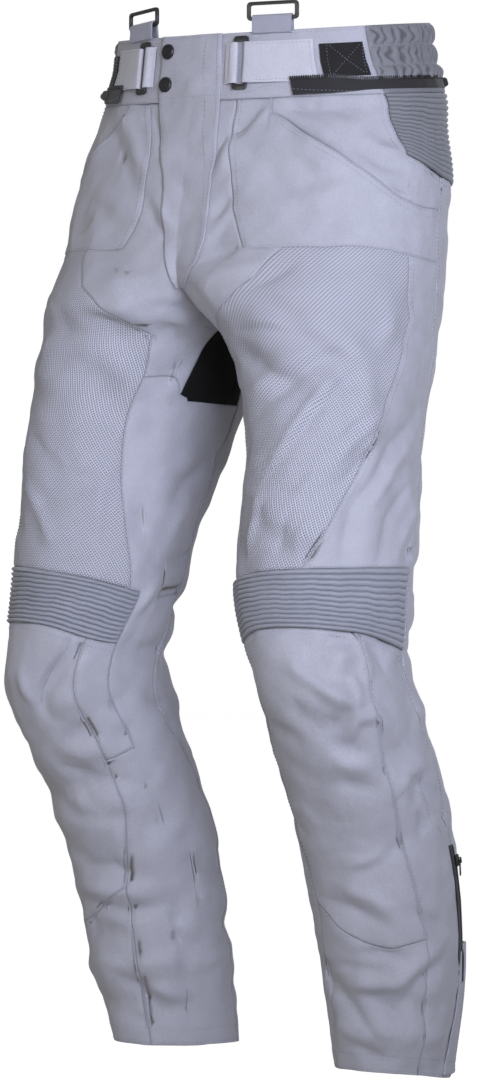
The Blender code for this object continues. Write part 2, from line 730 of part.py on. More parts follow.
def make_panels():
    """The cloth panels of both sides."""
    yoke, mouth, bottom = ROW["yoke"], ROW["pocket_mouth"], ROW["pocket_bottom"]
    seam, gusset_top, crotch = ROW["waist_seam"], ROW["gusset_top"], ROW["crotch"]
    gusset_bottom, knee, calf = ROW["gusset_bottom"], ROW["knee_top"], ROW["knee_bottom"]
    strip, shin, hem = ROW["strip_bottom"], ROW["shin_bottom"], ROW["hem"]
    fly, pocket = COLUMN["fly_offset"], COLUMN["pocket_front"]
    inner, outer = COLUMN["mesh_inner"], COLUMN["mesh_outer"]
    outseam, inseam, end = COLUMN["outseam"], COLUMN["back_inseam"], LAST_COLUMN

    def knee_relief(side, column, row):
        step = round((row - knee) / (calf - knee) * 2 * KNEE_RIBS)
        return RIB_DEPTH if step % 2 else 0.0

    def yoke_relief(side, column, row):
        step = round((row - seam) / (yoke - seam) * 2 * YOKE_RIBS)
        return RIB_DEPTH if step % 2 else 0.0

    for side, label in ((1, "left"), (-1, "right")):
        def part(columns, rows):
            return cells_of(side, columns, rows)

        wall(f"front_{label}", "cloth",
             part((0, pocket), (seam, crotch)) + part((fly, pocket), (crotch, gusset_bottom))
             + part((pocket, inner), (bottom, gusset_bottom)))
        wall(f"pocket_panel_{label}", "cloth",
             part((pocket, inner), (seam, bottom)) + part((inner, outseam), (mouth, bottom)))
        wall(f"hip_front_{label}", "cloth",
             part((inner, outer), (seam, mouth)) + part((outer, outseam), (yoke, mouth)))
        wall(f"yoke_{label}", "rib_cloth", part((outer, end), (seam, yoke)),
             split=(1, YOKE_RIBS * 2 // (yoke - seam)), relief=yoke_relief)
        wall(f"back_leg_{label}", "cloth",
             part((outseam, end), (yoke, gusset_top)) + part((outseam, inseam), (gusset_top, hem)))
        wall(f"thigh_mesh_{label}", "mesh", part((inner, outer), (bottom, knee)))
        wall(f"thigh_outer_{label}", "cloth", part((outer, outseam), (bottom, knee)))
        wall(f"inner_leg_{label}", "cloth",
             part((0, pocket), (gusset_bottom, hem)) + part((pocket, inner), (gusset_bottom, knee))
             + part((pocket, inner), (strip, hem)) + part((inseam, end), (gusset_bottom, hem)))
        wall(f"knee_ribs_{label}", "rib_cloth", part((pocket, outseam), (knee, calf)),
             split=(1, KNEE_RIBS * 2 // (calf - knee)), relief=knee_relief)
        wall(f"shin_strip_{label}", "cloth", part((pocket, inner), (calf, strip)))
        wall(f"shin_panel_{label}", "cloth", part((inner, outer), (calf, shin)))
        wall(f"ankle_front_{label}", "cloth", part((inner, outer), (shin, hem)))
        wall(f"shin_outer_{label}", "cloth", part((outer, outseam), (calf, hem)))
    wall("crotch_gusset", "gusset_cloth",
         [cell for side in (1, -1)
          for cell in cells_of(side, (0, fly), (crotch, gusset_bottom))
          + cells_of(side, (inseam, end), (gusset_top, gusset_bottom))])


def make_waistband():
    """The waistband in front, its gathered sides and its back, with the shield over the fly."""
    seam = ROW["waist_seam"]
    side_start = COLUMN["mesh_outer"]
    side_end = COLUMN["outseam"] + 2
    channel_rows = (0.3, 1.0, 1.0, 0.3, 1.0, 1.0, 0.3, 0.7, 0.0, 0.0, 0.0)
    across, down = 5, 5

    def gathers(side, column, row):
        step = round((column - side_start) * across)
        line = round(row * down)
        if step in (0, across * (side_end - side_start)):
            return 0.0
        swing = 1.0 if (step + line // 2) % 2 else 0.15
        return GATHER_DEPTH * swing * channel_rows[line]

    for side, label in ((1, "left"), (-1, "right")):
        wall(f"waistband_front_{label}", "cloth", cells_of(side, (0, side_start), (0, seam)),
             high=BAND_OUT, low=-BAND_IN)
        wall(f"waist_elastic_{label}", "cloth", cells_of(side, (side_start, side_end), (0, seam)),
             high=BAND_OUT, low=-BAND_IN, split=(across, down), relief=gathers)
    wall("waistband_back", "cloth",
         cells_of(1, (side_end, LAST_COLUMN), (0, seam)) + cells_of(-1, (side_end, LAST_COLUMN), (0, seam)),
         high=BAND_OUT, low=-BAND_IN)

    def shield_low(side, column, row):
        return LAYER_GAP + (BAND_OUT if row <= seam else 0.0)

    def shield_high(side, column, row):
        return shield_low(side, column, row) + LAYER

    tip = ROW["gusset_top"] - 1
    wall("fly_shield", "cloth", cells_of(1, (0, 1), (0, tip)) + cells_of(-1, (0, 1), (0, tip)),
         high=shield_high, low=shield_low)


def make_adjusters():
    """The belt adjuster on each side: anchor loop, ring, strap folded through it, and fastening tape."""
    base = BAND_OUT + LAYER_GAP + 0.0006
    strap = STRAP_LAYER
    bar_height = base + strap + LAYER_GAP + BUCKLE_THICKNESS / 2
    turn = BUCKLE_THICKNESS / 2 + LAYER_GAP + strap / 2
    low = base + strap / 2
    reach = BUCKLE_WIDTH / 2 - BUCKLE_SIDE_BAR / 2
    for side, label in ((1, "left"), (-1, "right")):
        ring_angle, strap_end, tape_start, tape_end = ADJUSTERS[label]
        column = column_at(ring_angle, 0)
        frame = frame_at(side, column, row_at(side, column, 0), 0)
        ring = frame @ Matrix.Translation((0, 0, bar_height))
        flat_ring(f"belt_ring_{label}", "black_plastic", BUCKLE_WIDTH, BUCKLE_HEIGHT, BUCKLE_SIDE_BAR,
                  BUCKLE_END_BAR, BUCKLE_THICKNESS, 0.003, ring)

        def around(path, width):
            """Points across a strap whose path is given as distance from the ring and height."""
            grid = []
            for distance, height in path:
                points = []
                for share in (-0.5, 0.0, 0.5):
                    place = frame @ Vector((distance * side, share * width, 0))
                    points.append(place + frame.to_3x3() @ Vector((0, 0, height)))
                grid.append(points)
            return grid

        bend = [math.pi * (0.5 + step / 6) for step in range(7)]
        fold = [(reach + (turn + 0.0006) * math.cos(a), bar_height - turn * math.sin(a)) for a in bend]
        path = [(reach + 0.0065, low)] + fold
        grid = around(path, STRAP_WIDTH)
        near = cage_distance(side, column, reach + 0.003)
        drop = bar_height + turn
        for place_column in between(near, column_at(strap_end, 0))[1:]:
            past = (cell_angle(place_column, 0) - ring_angle) / 13
            height = low + (drop - low) * max(0.0, 1 - past)
            points = []
            for share in (-0.5, 0.0, 0.5):
                row = row_at(side, place_column, share * STRAP_WIDTH)
                place, normal = cage_place(side, place_column, row)
                points.append(place + normal * height)
            grid.append(points)
        slab(f"belt_strap_{label}", "strap_cloth", grid, strap)

        hook = [(-x, h) for x, h in fold]
        loop = [(-reach - 0.0015, low)] + hook[1:] + [(-reach - 0.004, bar_height + turn * 0.8),
                                                     (-reach - 0.0075, low + 0.001), (-reach - 0.011, low)]
        slab(f"belt_anchor_{label}", "strap_cloth", around(loop, STRAP_WIDTH), strap)

        patch = level_patch(side, column_at(tape_start, 0), column_at(tape_end, 0), 0.0155, -0.0180, base,
                            0.001)
        slab(f"fastening_patch_{label}", "hook_tape", patch, 0.001)


def cage_distance(side, column, distance):
    """The column that lies a distance further out round the waist."""
    start, _ = cage_place(side, column, row_at(side, column, 0))
    return bisect(lambda c: (cage_place(side, c, row_at(side, c, 0))[0] - start).length < distance,
                  column, column + 2)


def make_connection_zip():
    """Half of the zip that joins a jacket, round the back on the waistband's lower half."""
    thickness = 0.0012
    start = column_at(124.0, 0)
    over_strap = STRAP_LAYER + LAYER_GAP + 0.0012
    grid = []
    for side in (1, -1):
        half = []
        for column in between(start, LAST_COLUMN):
            past = min(1.0, max(0.0, (column - start - 2) / 2))
            top = -0.0195 - 0.003 * past
            bottom = -0.0355 + 0.0035 * past
            lift = BAND_OUT + LAYER_GAP + over_strap * (1 - past)
            points = []
            for level in (top, (top + bottom) / 2, bottom):
                place, normal = cage_place(side, column, row_at(side, column, level))
                points.append(place + normal * (lift + thickness / 2))
            half.append(points)
        grid += half if side == 1 else half[-2::-1]
    slab("connection_zip", "zip_tape", grid, thickness)


def make_braces():
    """The webbing loop above the waistband on each side, with its ring on the hinge axis."""
    half = WEBBING_WIDTH / 2
    inside = -BAND_IN - 2 * LAYER_GAP - WEBBING / 2
    turn = BRACE_BAR / 2 + 0.001 + WEBBING / 2
    centre = inside + turn
    top = 0.032
    for side, label in ((1, "left"), (-1, "right")):
        column = column_at(BRACE_ANGLES[label], top)
        frame = frame_at(side, column, 0, 0, upright=True)
        path = [(-WEBBING_TAIL, inside - 0.0006), (-WEBBING_TAIL / 2, inside - 0.0003), (0.0, inside)]
        for step in range(9):
            angle = math.pi * (1 - step / 8)
            path.append((BRACE_AXIS_RISE + turn * math.sin(angle), centre + turn * math.cos(angle)))
        path += [(BRACE_AXIS_RISE * 0.5, centre + turn), (0.0018, BAND_OUT + 0.0024),
                 (-0.0022, BAND_OUT + 0.0026)]
        grid = []
        for height, out in path:
            grid.append([frame @ Vector((share * half, height, out - webbing_fall(share, half, height)))
                         for share in (-1.0, -0.5, 0.0, 0.5, 1.0)])
        slab(f"brace_webbing_{label}", "webbing", grid, WEBBING)
        ring = frame @ Matrix.Translation((0, BRACE_AXIS_RISE + BRACE_REACH / 2, centre))
        flat_ring(f"brace_ring_{label}", "black_plastic", BRACE_WIDTH, BRACE_REACH + BRACE_BAR,
                  BRACE_SIDE_BAR, BRACE_BAR, BRACE_THICKNESS, 0.004, ring)


def webbing_fall(share, half, height):
    """How far the webbing's edges lie back with the waist's curve, below the waistband's top."""
    waist_radius = 0.22
    return (share * half) ** 2 / (2 * waist_radius) if height < 0.001 else 0.0


def make_snaps():
    """Two snap caps on the fly shield."""
    for name, across, level in SNAPS:
        side = 1 if across > 0 else -1
        row = row_at(side, 0, level)
        column = bisect(lambda c: abs(cage_place(side, c, row)[0].x) < abs(across), 0, 2)
        frame = frame_at(side, column, row, BAND_OUT + 2 * LAYER_GAP + LAYER + SNAP_HEIGHT / 2 + 0.0001)
        shape = bmesh.new()
        bmesh.ops.create_cone(shape, cap_ends=True, segments=20, radius1=SNAP_RADIUS,
                              radius2=SNAP_RADIUS * 0.8, depth=SNAP_HEIGHT, matrix=frame)
        finish_mesh(name, shape, "snap_metal", 30)


def make_leg_zips():
    """The zip at the foot of each outseam: tape, slider, pull tab and the flap over its lower end."""
    tape = 0.001
    column = COLUMN["outseam"]
    for side, label in ((1, "left"), (-1, "right")):
        rows = between(row_at(side, column, ZIP_TOP), LAST_ROW - 0.12)
        grid = []
        for row in rows:
            grid.append([lifted(side, column + beside, row, ZIP_LIFT + tape / 2) for beside in ZIP_TAPE])
        slab(f"leg_zip_{label}", "zip_tape", grid, tape)

        row = row_at(side, column, ZIP_SLIDER)
        place, normal = cage_place(side, column, row)
        down = (cage_place(side, column, row + 0.4)[0] - place).normalized()
        beside = down.cross(normal).normalized()
        outward = beside.cross(down).normalized()
        frame = Matrix((beside, outward, -down)).transposed().to_4x4()
        width, depth, length = SLIDER_SIZE
        frame.translation = place + outward * (ZIP_LIFT + tape + LAYER_GAP)
        make_slider(label, frame, width, depth, length)
        make_pull(label, frame, depth)

        flap = []
        low = LAYER_GAP + CLOTH / 2
        for beside, height in ((-1, low), (-0.55, low + 0.0022), (0, low + 0.0022), (0.4, low + 0.0022),
                               (1, low + 0.0006), (1.5, low + 0.0006)):
            rows = between(row_at(side, column + beside, -0.893), LAST_ROW - 0.12)
            flap.append([lifted(side, column + beside, row, height) for row in rows])
        slab(f"hem_flap_{label}", "cloth", flap, CLOTH)


def make_slider(label, frame, width, depth, length):
    """A zip slider: a rounded body with a bridge along it for the pull tab."""
    body = bmesh.new()
    box(body, (0, depth / 2, 0), (width, depth, length))
    bmesh.ops.bevel(body, geom=body.edges[:], offset=0.0008, segments=1, affect="EDGES")
    bmesh.ops.transform(body, matrix=frame, verts=body.verts)
    slider = finish_mesh(f"zip_slider_{label}", body, "black_plastic")
    bridge = bmesh.new()
    post, reach, clear = 0.001, 0.003, 0.0019
    box(bridge, (0, depth + clear / 2 + 0.0003, 0), (0.0018, clear + 0.0014, reach * 2))
    bmesh.ops.transform(bridge, matrix=frame, verts=bridge.verts)
    block = finish_mesh(f"bridge_{label}", bridge, "black_plastic")
    opening = bmesh.new()
    box(opening, (0, depth + clear / 2, 0), (0.01, clear, (reach - post) * 2))
    bmesh.ops.transform(opening, matrix=frame, verts=opening.verts)
    cutter = finish_mesh(f"bridge_opening_{label}", opening, "black_plastic")
    for thing in (block, cutter):
        COLLECTION.objects.unlink(thing)
        CUTTERS.objects.link(thing)
        thing.hide_render = True
        thing.display_type = "WIRE"
    cut = block.modifiers.new("opening", "BOOLEAN")
    cut.object = cutter
    cut.operation = "DIFFERENCE"
    join = slider.modifiers.new("bridge", "BOOLEAN")
    join.object = block
    join.operation = "UNION"


def make_pull(label, frame, depth):
    """A pull tab, a flat plate whose eye goes round the slider's bridge."""
    eye_bar = 0.0011
    eye_height = 0.0048
    bars = ((0.0, 0.0, PULL_WIDTH, eye_bar),
            (-PULL_WIDTH / 2 + 0.0005, -eye_height / 2, 0.001, eye_height + eye_bar),
            (PULL_WIDTH / 2 - 0.0005, -eye_height / 2, 0.001, eye_height + eye_bar))
    curve = bpy.data.curves.new(f"zip_pull_{label}", "CURVE")
    curve.dimensions = "2D"
    curve.fill_mode = "BOTH"
    curve.extrude = PULL_THICKNESS / 2
    half = PULL_WIDTH / 2
    top = eye_bar / 2
    outline = ((half, top), (-half, top), (-half, -PULL_LENGTH + 0.0015), (-half + 0.0015, -PULL_LENGTH),
               (half - 0.0015, -PULL_LENGTH), (half, -PULL_LENGTH + 0.0015))
    inside = half - bars[1][2]
    eye = ((inside, -top), (-inside, -top), (-inside, -top - eye_height), (inside, -top - eye_height))
    for points in (outline, eye):
        spline = curve.splines.new("POLY")
        spline.points.add(len(points) - 1)
        for point, (x, y) in zip(spline.points, points):
            point.co = (x, y, 0, 1)
        spline.use_cyclic_u = True
    curve.materials.append(make_material("black_plastic"))
    pull = bpy.data.objects.new(f"zip_pull_{label}", curve)
    COLLECTION.objects.link(pull)
    pin = frame.col[0].to_3d()
    weight = Vector((0, 0, -1))
    hanging = (weight - pin * weight.dot(pin)).normalized()
    hung = Matrix((pin, -hanging, pin.cross(-hanging))).transposed().to_4x4()
    hung.translation = frame @ Vector((0, depth + 0.00095, 0))
    pull.matrix_world = hung


for old in list(bpy.data.objects):
    bpy.data.objects.remove(old, do_unlink=True)
COLLECTION = bpy.data.collections.new("motorcycle_trousers")
CUTTERS = bpy.data.collections.new("cutters")
for group in (COLLECTION, CUTTERS):
    bpy.context.scene.collection.children.link(group)
make_panels()
make_waistband()
make_adjusters()
make_connection_zip()
make_braces()
make_snaps()
make_leg_zips()
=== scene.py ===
"""Motorcycle trousers: cloth, trims, light and camera, in metres.

+Z is up, the front faces -Y and the wearer's left is +X. A place on the cloth is a side (1 on the wearer's
left, -1 on the right), a column round the leg and a row down it, as on the solids. A level is a height
before the waist's tilt, and an angle runs round the leg: 0 inside, 90 in front, 180 outside, 270 behind.
"""

import math

import bmesh
import bpy
import numpy as np
from mathutils import Matrix, Vector, noise
from mathutils.bvhtree import BVHTree
from mathutils.kdtree import KDTree


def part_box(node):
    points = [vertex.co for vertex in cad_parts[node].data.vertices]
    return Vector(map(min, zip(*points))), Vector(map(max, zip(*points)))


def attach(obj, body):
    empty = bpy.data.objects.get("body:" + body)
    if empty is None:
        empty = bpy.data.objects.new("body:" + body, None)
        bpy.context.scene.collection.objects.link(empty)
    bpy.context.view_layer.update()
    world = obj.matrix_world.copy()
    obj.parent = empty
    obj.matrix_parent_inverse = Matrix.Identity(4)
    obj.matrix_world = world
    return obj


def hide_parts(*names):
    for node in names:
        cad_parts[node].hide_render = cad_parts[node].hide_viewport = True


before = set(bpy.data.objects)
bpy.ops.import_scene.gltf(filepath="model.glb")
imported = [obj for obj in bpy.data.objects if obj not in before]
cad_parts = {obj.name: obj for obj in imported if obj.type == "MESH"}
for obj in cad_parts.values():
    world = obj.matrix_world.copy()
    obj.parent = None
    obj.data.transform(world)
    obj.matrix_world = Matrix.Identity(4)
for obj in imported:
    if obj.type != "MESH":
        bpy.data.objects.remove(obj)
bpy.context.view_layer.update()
noise.seed_set(1)

# Camera, level with the middle of the legs
AZIMUTH = 38.0
CAMERA_DISTANCE = 3.4
CAMERA_HEIGHT = -0.483
PIXELS_PER_METRE = 952.0
PICTURE_HEIGHT = 1080.0
AXIS_FROM_MIDDLE = 33.0
SENSOR = 0.024
FLOOR_HEIGHT = -1.075

SIDES = ((1, "left"), (-1, "right"))

# Thicknesses, and how far the waistband and the fly's layer stand out
CLOTH = 0.0016
BAND = 0.0032
BAND_OUT = 0.0015
LAYER_GAP = 0.0005
LAYER = 0.0014
SHIELD_CURL = 0.0006

# Sunken seams: depth and reach
SEAM_DIP = 0.0007
SEAM_REACH = 0.0017
SHIELD_DIP = 0.0004

# Ribs, in metres, and the share of their depth at the hips
RIB_DEPTH = 0.0036
KNEE_RIBS = 12
YOKE_RIBS = 16
YOKE_SHARE = 0.85

# Gathers of the side elastic: depth, degrees from one to the next, the levels that bound their rows, and
# where the rows' stitching starts and ends
GATHER_DEPTH = 0.0052
GATHER_PITCH = 5.0
ELASTIC_CHANNELS = (0.031, 0.0115, -0.0085, -0.0235)
ELASTIC_ANGLES = (153.5, 206.0)

# Pocket's mouth: its widest place and reach in columns, how far it stands off, and how far the cloth
# behind it lies back
GAPE_COLUMN = 4.6
GAPE_REACH = 1.5
GAPE_OUT = 0.0055
GAPE_BACK = 0.0040

# Factors on the heights and widths of the creases, how blunt they are, and how narrow and steep at most
CREASE_DEPTH = 1.75
CREASE_WIDTH = 0.85
BLUNT = 0.0012
NARROWEST = 0.0050
STEEPEST = 0.75
STEADY_CREASES = 0.25
BAND_CREASES = 0.10

# How dark the painted shade in troughs and seams is, as shares
TROUGH_DARK = 16
TROUGH_DARKEST = 0.15
SEAM_DARK = 0.13
DARKEST = 0.8

# Mesh lines in a cell: of cloth, ribs, waistband, elastic and fly, round and down
CLOTH_LINES = (9, 9)
GUSSET_LINES = (8, 8)
YOKE_LINES = (9, 64)
KNEE_LINES = (9, 48)
BAND_LINES = (9, 14)
ELASTIC_LINES = (20, 30)
SHIELD_LINES = (14, 9)

# Vertices of the grid are told apart by one number: side, then column, then row
SIDE_CODE = 10000
COLUMN_CODE = 100000

# Sewing thread: lengths of the stitches, the gap between them, and their width, height and sunken part
STITCH = 0.0030
SHORT_STITCH = 0.0022
STITCH_GAP = 0.0011
STITCH_WIDTH = 0.0007
STITCH_HEIGHT = 0.00060
STITCH_SINK = 0.00015
SAMPLES_A_CELL = 13

# Flap over the leg zip's foot: its levels, the angle of its back edge, the rows and columns of its mesh,
# and how far it lies off the leg
FLAP_TOP = -0.893
FLAP_LENGTH = 0.136
FLAP_BACK = 224.0
FLAP_ROWS = 46
FLAP_COLUMNS = 22
FLAP_OFF = 0.0026

# The flap's front edge
# columns: level, angle
FLAP_FRONT = ((-0.886, 203.0), (-0.902, 196.0), (-0.962, 191.0), (-0.994, 185.0), (-1.030, 180.0))

# Zips: distance from tooth to tooth, and each tooth's length, width and height
CONNECTION_PITCH = 0.0023
CONNECTION_TOOTH = (0.0014, 0.0030, 0.0036)
COIL_PITCH = 0.0016
COIL_TOOTH = (0.0010, 0.0030, 0.0012)
COIL_LEVELS = (-0.792, -1.008)
ZIP_END_ANGLES = {"left": 214.0, "right": 139.0}
ZIP_END_LEVEL = -0.027
ZIP_END_OUT = 0.003

# Blocks at the ends of the zip round the back
# columns: distance from the end, length, width and height
ZIP_END_BLOCKS = ((0.0, (0.013, 0.011, 0.006)), (0.008, (0.008, 0.007, 0.007)))

# Snap caps: a domed face with a rolled rim and a shallow ring
# columns: radius, height
SNAP_PROFILE = ((0.0, 0.0026), (0.0022, 0.0026), (0.0030, 0.0022), (0.0050, 0.0024), (0.0064, 0.0028),
                (0.0074, 0.0026), (0.0080, 0.0016), (0.0080, 0.0002), (0.0076, -0.0004))
SNAP_SIDES = 40
SNAP_OUT = 0.0002

# Belt adjusters on each side
# columns: ring's angle, strap's end, tape's start and end
ADJUSTERS = {"left": (109.0, 132.5, 134.5, 151.5), "right": (112.0, 135.0, 137.0, 151.5)}

# Straps, loops and tapes, on their solids' own forms
# columns: node, material, unevenness
TRIMS = (("belt_strap", "strap_cloth", 0.0005), ("belt_anchor", "strap_cloth", 0.0003),
         ("fastening_patch", "hook_tape", 0.0003), ("brace_webbing", "webbing", 0.0003),
         ("leg_zip", "zip_tape", 0.0003))
LONGEST_EDGE = 0.005

# Hard parts, on their solids' own forms
# columns: node, last word of the piece's name, whether it moves on its own, width of the rounded edges
HARD_PARTS = (("belt_ring", "bar", False, 0.0006), ("brace_ring", "bar", True, 0.0008),
              ("zip_slider", "body", False, 0.0002), ("zip_pull", "tab", True, 0.00025))

# Lights
# columns: name, metres toward the camera, to its right and up, aim, size, watts, colour, spread in degrees
LIGHTS = (
    ("key", (2.35, 0.70, 0.05), (0.05, 0, -0.27), 1.1, 8.0, (0.80, 0.85, 1.0), 56),
    ("fill", (2.1, -1.6, -0.15), (0.0, 0, -0.45), 1.4, 12, (1.0, 0.98, 0.95), 180),
)
AMBIENT_COLOUR = (1.0, 0.98, 0.94)
AMBIENT_STRENGTH = 0.28

# Cross sections of one leg, which meet in the middle above the crotch
# columns: level, centre out, centre back, half width, depth in front, depth behind, roundness, toe-out
SECTIONS = (
    (0.040, 0.000, 0.000, 0.182, 0.121, 0.118, 2.0, 0.0),
    (0.000, 0.000, 0.000, 0.187, 0.124, 0.122, 2.0, 0.0),
    (-0.030, 0.006, 0.000, 0.192, 0.127, 0.129, 2.0, 0.0),
    (-0.045, 0.009, -0.002, 0.194, 0.127, 0.131, 2.0, 0.0),
    (-0.070, 0.012, -0.010, 0.194, 0.126, 0.132, 2.1, -0.5),
    (-0.120, 0.033, -0.022, 0.186, 0.123, 0.134, 2.1, 0.0),
    (-0.180, 0.059, -0.038, 0.162, 0.122, 0.135, 2.1, 1.5),
    (-0.235, 0.094, -0.048, 0.128, 0.133, 0.135, 2.1, 6.5),
    (-0.275, 0.115, -0.052, 0.105, 0.129, 0.132, 2.0, 10.5),
    (-0.310, 0.126, -0.057, 0.096, 0.120, 0.126, 2.0, 13.5),
    (-0.360, 0.134, -0.067, 0.086, 0.120, 0.121, 2.0, 16.5),
    (-0.420, 0.140, -0.079, 0.083, 0.113, 0.114, 2.0, 13.0),
    (-0.490, 0.147, -0.097, 0.086, 0.100, 0.100, 2.0, 2.0),
    (-0.540, 0.150, -0.104, 0.084, 0.097, 0.098, 2.0, 0.0),
    (-0.590, 0.158, -0.108, 0.076, 0.096, 0.096, 2.0, 5.5),
    (-0.640, 0.164, -0.103, 0.072, 0.096, 0.093, 2.0, 10.5),
    (-0.700, 0.164, -0.073, 0.077, 0.090, 0.090, 2.0, 9.0),
    (-0.780, 0.159, -0.034, 0.076, 0.084, 0.085, 2.0, 5.5),
    (-0.860, 0.157, -0.011, 0.073, 0.083, 0.084, 2.0, 6.5),
    (-0.940, 0.152, 0.005, 0.066, 0.081, 0.082, 2.0, 8.0),
    (-1.020, 0.145, 0.017, 0.055, 0.076, 0.076, 2.0, 9.0),
)

# How much higher the back of the waist lies than its front
# columns: level, rise
BACK_RISE = ((0.040, 0.036), (-0.030, 0.031), (-0.100, 0.019), (-0.200, 0.004), (-0.260, 0.0), (-1.1, 0.0))

# The waist hangs lower on the wearer's left
# columns: level, height for each metre across
LEAN = ((0.040, -0.045), (-0.060, -0.045), (-0.120, -0.020), (-0.190, 0.0), (-1.1, 0.0))

# The seams on the wearer's right lie higher, most of all in front
# columns: level, rise
RIGHT_RISE = ((0.040, 0.0), (-0.045, 0.0), (-0.120, 0.007), (-0.190, 0.011), (-0.260, 0.013),
              (-0.330, 0.017), (-0.420, 0.009), (-0.510, 0.0), (-1.1, 0.0))

# The fly's middle lies off the middle of the body, in degrees toward the wearer's left
# columns: level, degrees
FLY_SHIFT = ((0.040, -3.5), (-0.042, -3.5), (-0.074, -0.3), (-0.114, 1.3), (-0.150, 3.3), (-0.178, 5.2),
             (-0.205, 6.0), (-0.222, 3.5), (-0.240, 0.0))
FLY_SHIFT_REACH = 45.0

# The fullness of the seat on each side: place and spread across, level and spread, and depth
SEAT = {"out": 0.085, "spread": 0.060, "level": -0.150, "fall": 0.070, "depth": 0.020}

# Style lines that run down the garment
# columns: level, angle
STYLE_LINES = {
    "fly_offset": ((0.040, 12.5), (-0.042, 12.5), (-0.074, 9.8), (-0.114, 8.5), (-0.150, 9.5),
                   (-0.178, 10.0), (-0.205, 9.5), (-0.222, 6.5), (-0.236, 3.5), (-0.250, 3.5),
                   (-0.268, 6.0), (-0.340, 5.0), (-0.400, 7.0), (-1.020, 9.0)),
    "pocket_front": ((0.040, 108.0), (-0.042, 105.0), (-0.090, 99.0), (-0.150, 94.0), (-0.192, 94.0),
                     (-0.215, 80.0), (-0.235, 62.0), (-0.250, 44.0), (-0.266, 25.0), (-0.285, 17.0),
                     (-0.330, 10.0), (-0.400, 14.0), (-0.500, 16.0), (-0.590, 19.0), (-0.680, 15.0),
                     (-0.720, 18.0), (-0.800, 22.0), (-1.020, 20.0)),
    "mesh_inner": ((0.040, 118.0), (-0.050, 116.0), (-0.100, 113.0), (-0.194, 112.0), (-0.222, 96.0),
                   (-0.246, 74.0), (-0.262, 52.0), (-0.274, 36.0), (-0.310, 30.0), (-0.400, 28.0),
                   (-0.480, 29.0), (-0.530, 25.0), (-0.590, 42.0), (-0.700, 41.0), (-0.760, 45.0),
                   (-0.800, 52.0), (-0.850, 58.0), (-0.920, 58.0), (-1.020, 55.0)),
    "mesh_outer": ((0.040, 152.0), (-0.036, 156.0), (-0.054, 158.0), (-0.074, 162.0), (-0.094, 166.0),
                   (-0.150, 169.0), (-0.262, 168.0), (-0.326, 154.0), (-0.366, 146.0), (-0.406, 138.0),
                   (-0.482, 124.0), (-0.512, 114.0), (-0.578, 151.0), (-0.640, 150.0), (-0.690, 143.0),
                   (-0.780, 142.0), (-0.834, 148.0), (-0.885, 153.0), (-1.020, 152.0)),
    "outseam": ((0.040, 186.0), (-0.036, 188.0), (-0.200, 190.0), (-0.300, 194.0), (-0.500, 196.0),
                (-0.560, 192.0), (-0.594, 188.0), (-0.700, 193.0), (-0.810, 197.0), (-1.020, 198.0)),
    "back_inseam": ((0.040, 258.0), (-0.120, 268.0), (-0.180, 276.0), (-0.235, 300.0), (-0.255, 318.0),
                    (-0.268, 330.0), (-0.300, 325.0), (-0.345, 317.0), (-0.450, 328.0), (-0.600, 340.0),
                    (-0.674, 338.0), (-0.730, 324.0), (-0.850, 320.0), (-1.020, 320.0)),
}

# Key columns, from the middle of the front round the outside to the middle of the back, with the cells
# up to the next one
COLUMNS = (("centre_front", 1), ("fly_offset", 1), ("pocket_front", 1), ("mesh_inner", 6),
           ("mesh_outer", 4), ("outseam", 6), ("back_inseam", 2), ("centre_back", 0))

# The columns at which the rows' levels are given
STATIONS = (0, 1, 2, 3, 5, 7, 9, 13, 16, 19, 21)

# The share of the right side's rise at each station
RISE_SHARES = (0.0, 0.0, 0.6, 1.0, 1.0, 1.0, 1.0, 1.0, 0.5, 0.0, 0.0)

# Key rows
# columns: name, cells down to the next one, levels at the stations
ROWS = (
    ("waist_top", 2, (0.032,) * 11),
    ("waist_seam", 2, (-0.036,) * 11),
    ("yoke", 1, (-0.068, -0.066, -0.062, -0.0465, -0.064, -0.086, -0.099, -0.121, -0.132, -0.140, -0.140)),
    ("pocket_mouth", 4, (-0.085, -0.082, -0.075, -0.052, -0.085, -0.121, -0.148, -0.156, -0.165, -0.170,
                         -0.170)),
    ("pocket_bottom", 3, (-0.186, -0.188, -0.192, -0.194, -0.194, -0.195, -0.201, -0.207, -0.208, -0.200,
                          -0.196)),
    ("gusset_top", 1, (-0.248, -0.248, -0.249, -0.251, -0.253, -0.253, -0.254, -0.254, -0.252, -0.249,
                       -0.248)),
    ("crotch", 2, (None, -0.267, -0.268, -0.272, -0.277, -0.277, -0.277, -0.277, -0.274, -0.268, None)),
    ("gusset_bottom", 5, (-0.336, -0.332, -0.326, -0.332, -0.334, -0.335, -0.335, -0.336, -0.338, -0.341,
                          -0.339)),
    ("knee_top", 2, (-0.540, -0.539, -0.537, -0.533, -0.521, -0.514, -0.511, -0.511, -0.520, -0.536,
                     -0.540)),
    ("knee_bottom", 3, (-0.592, -0.591, -0.590, -0.584, -0.571, -0.568, -0.573, -0.592, -0.600, -0.595,
                        -0.592)),
    ("strip_bottom", 5, (-0.700, -0.700, -0.700, -0.713, -0.712, -0.706, -0.702, -0.700, -0.700, -0.700,
                         -0.700)),
    ("shin_bottom", 4, (-0.860, -0.858, -0.852, -0.848, -0.876, -0.891, -0.883, -0.885, -0.875, -0.864,
                        -0.860)),
    ("hem", 0, (-1.022, -1.022, -1.021, -1.019, -1.018, -1.019, -1.024, -1.034, -1.032, -1.026, -1.022)),
)

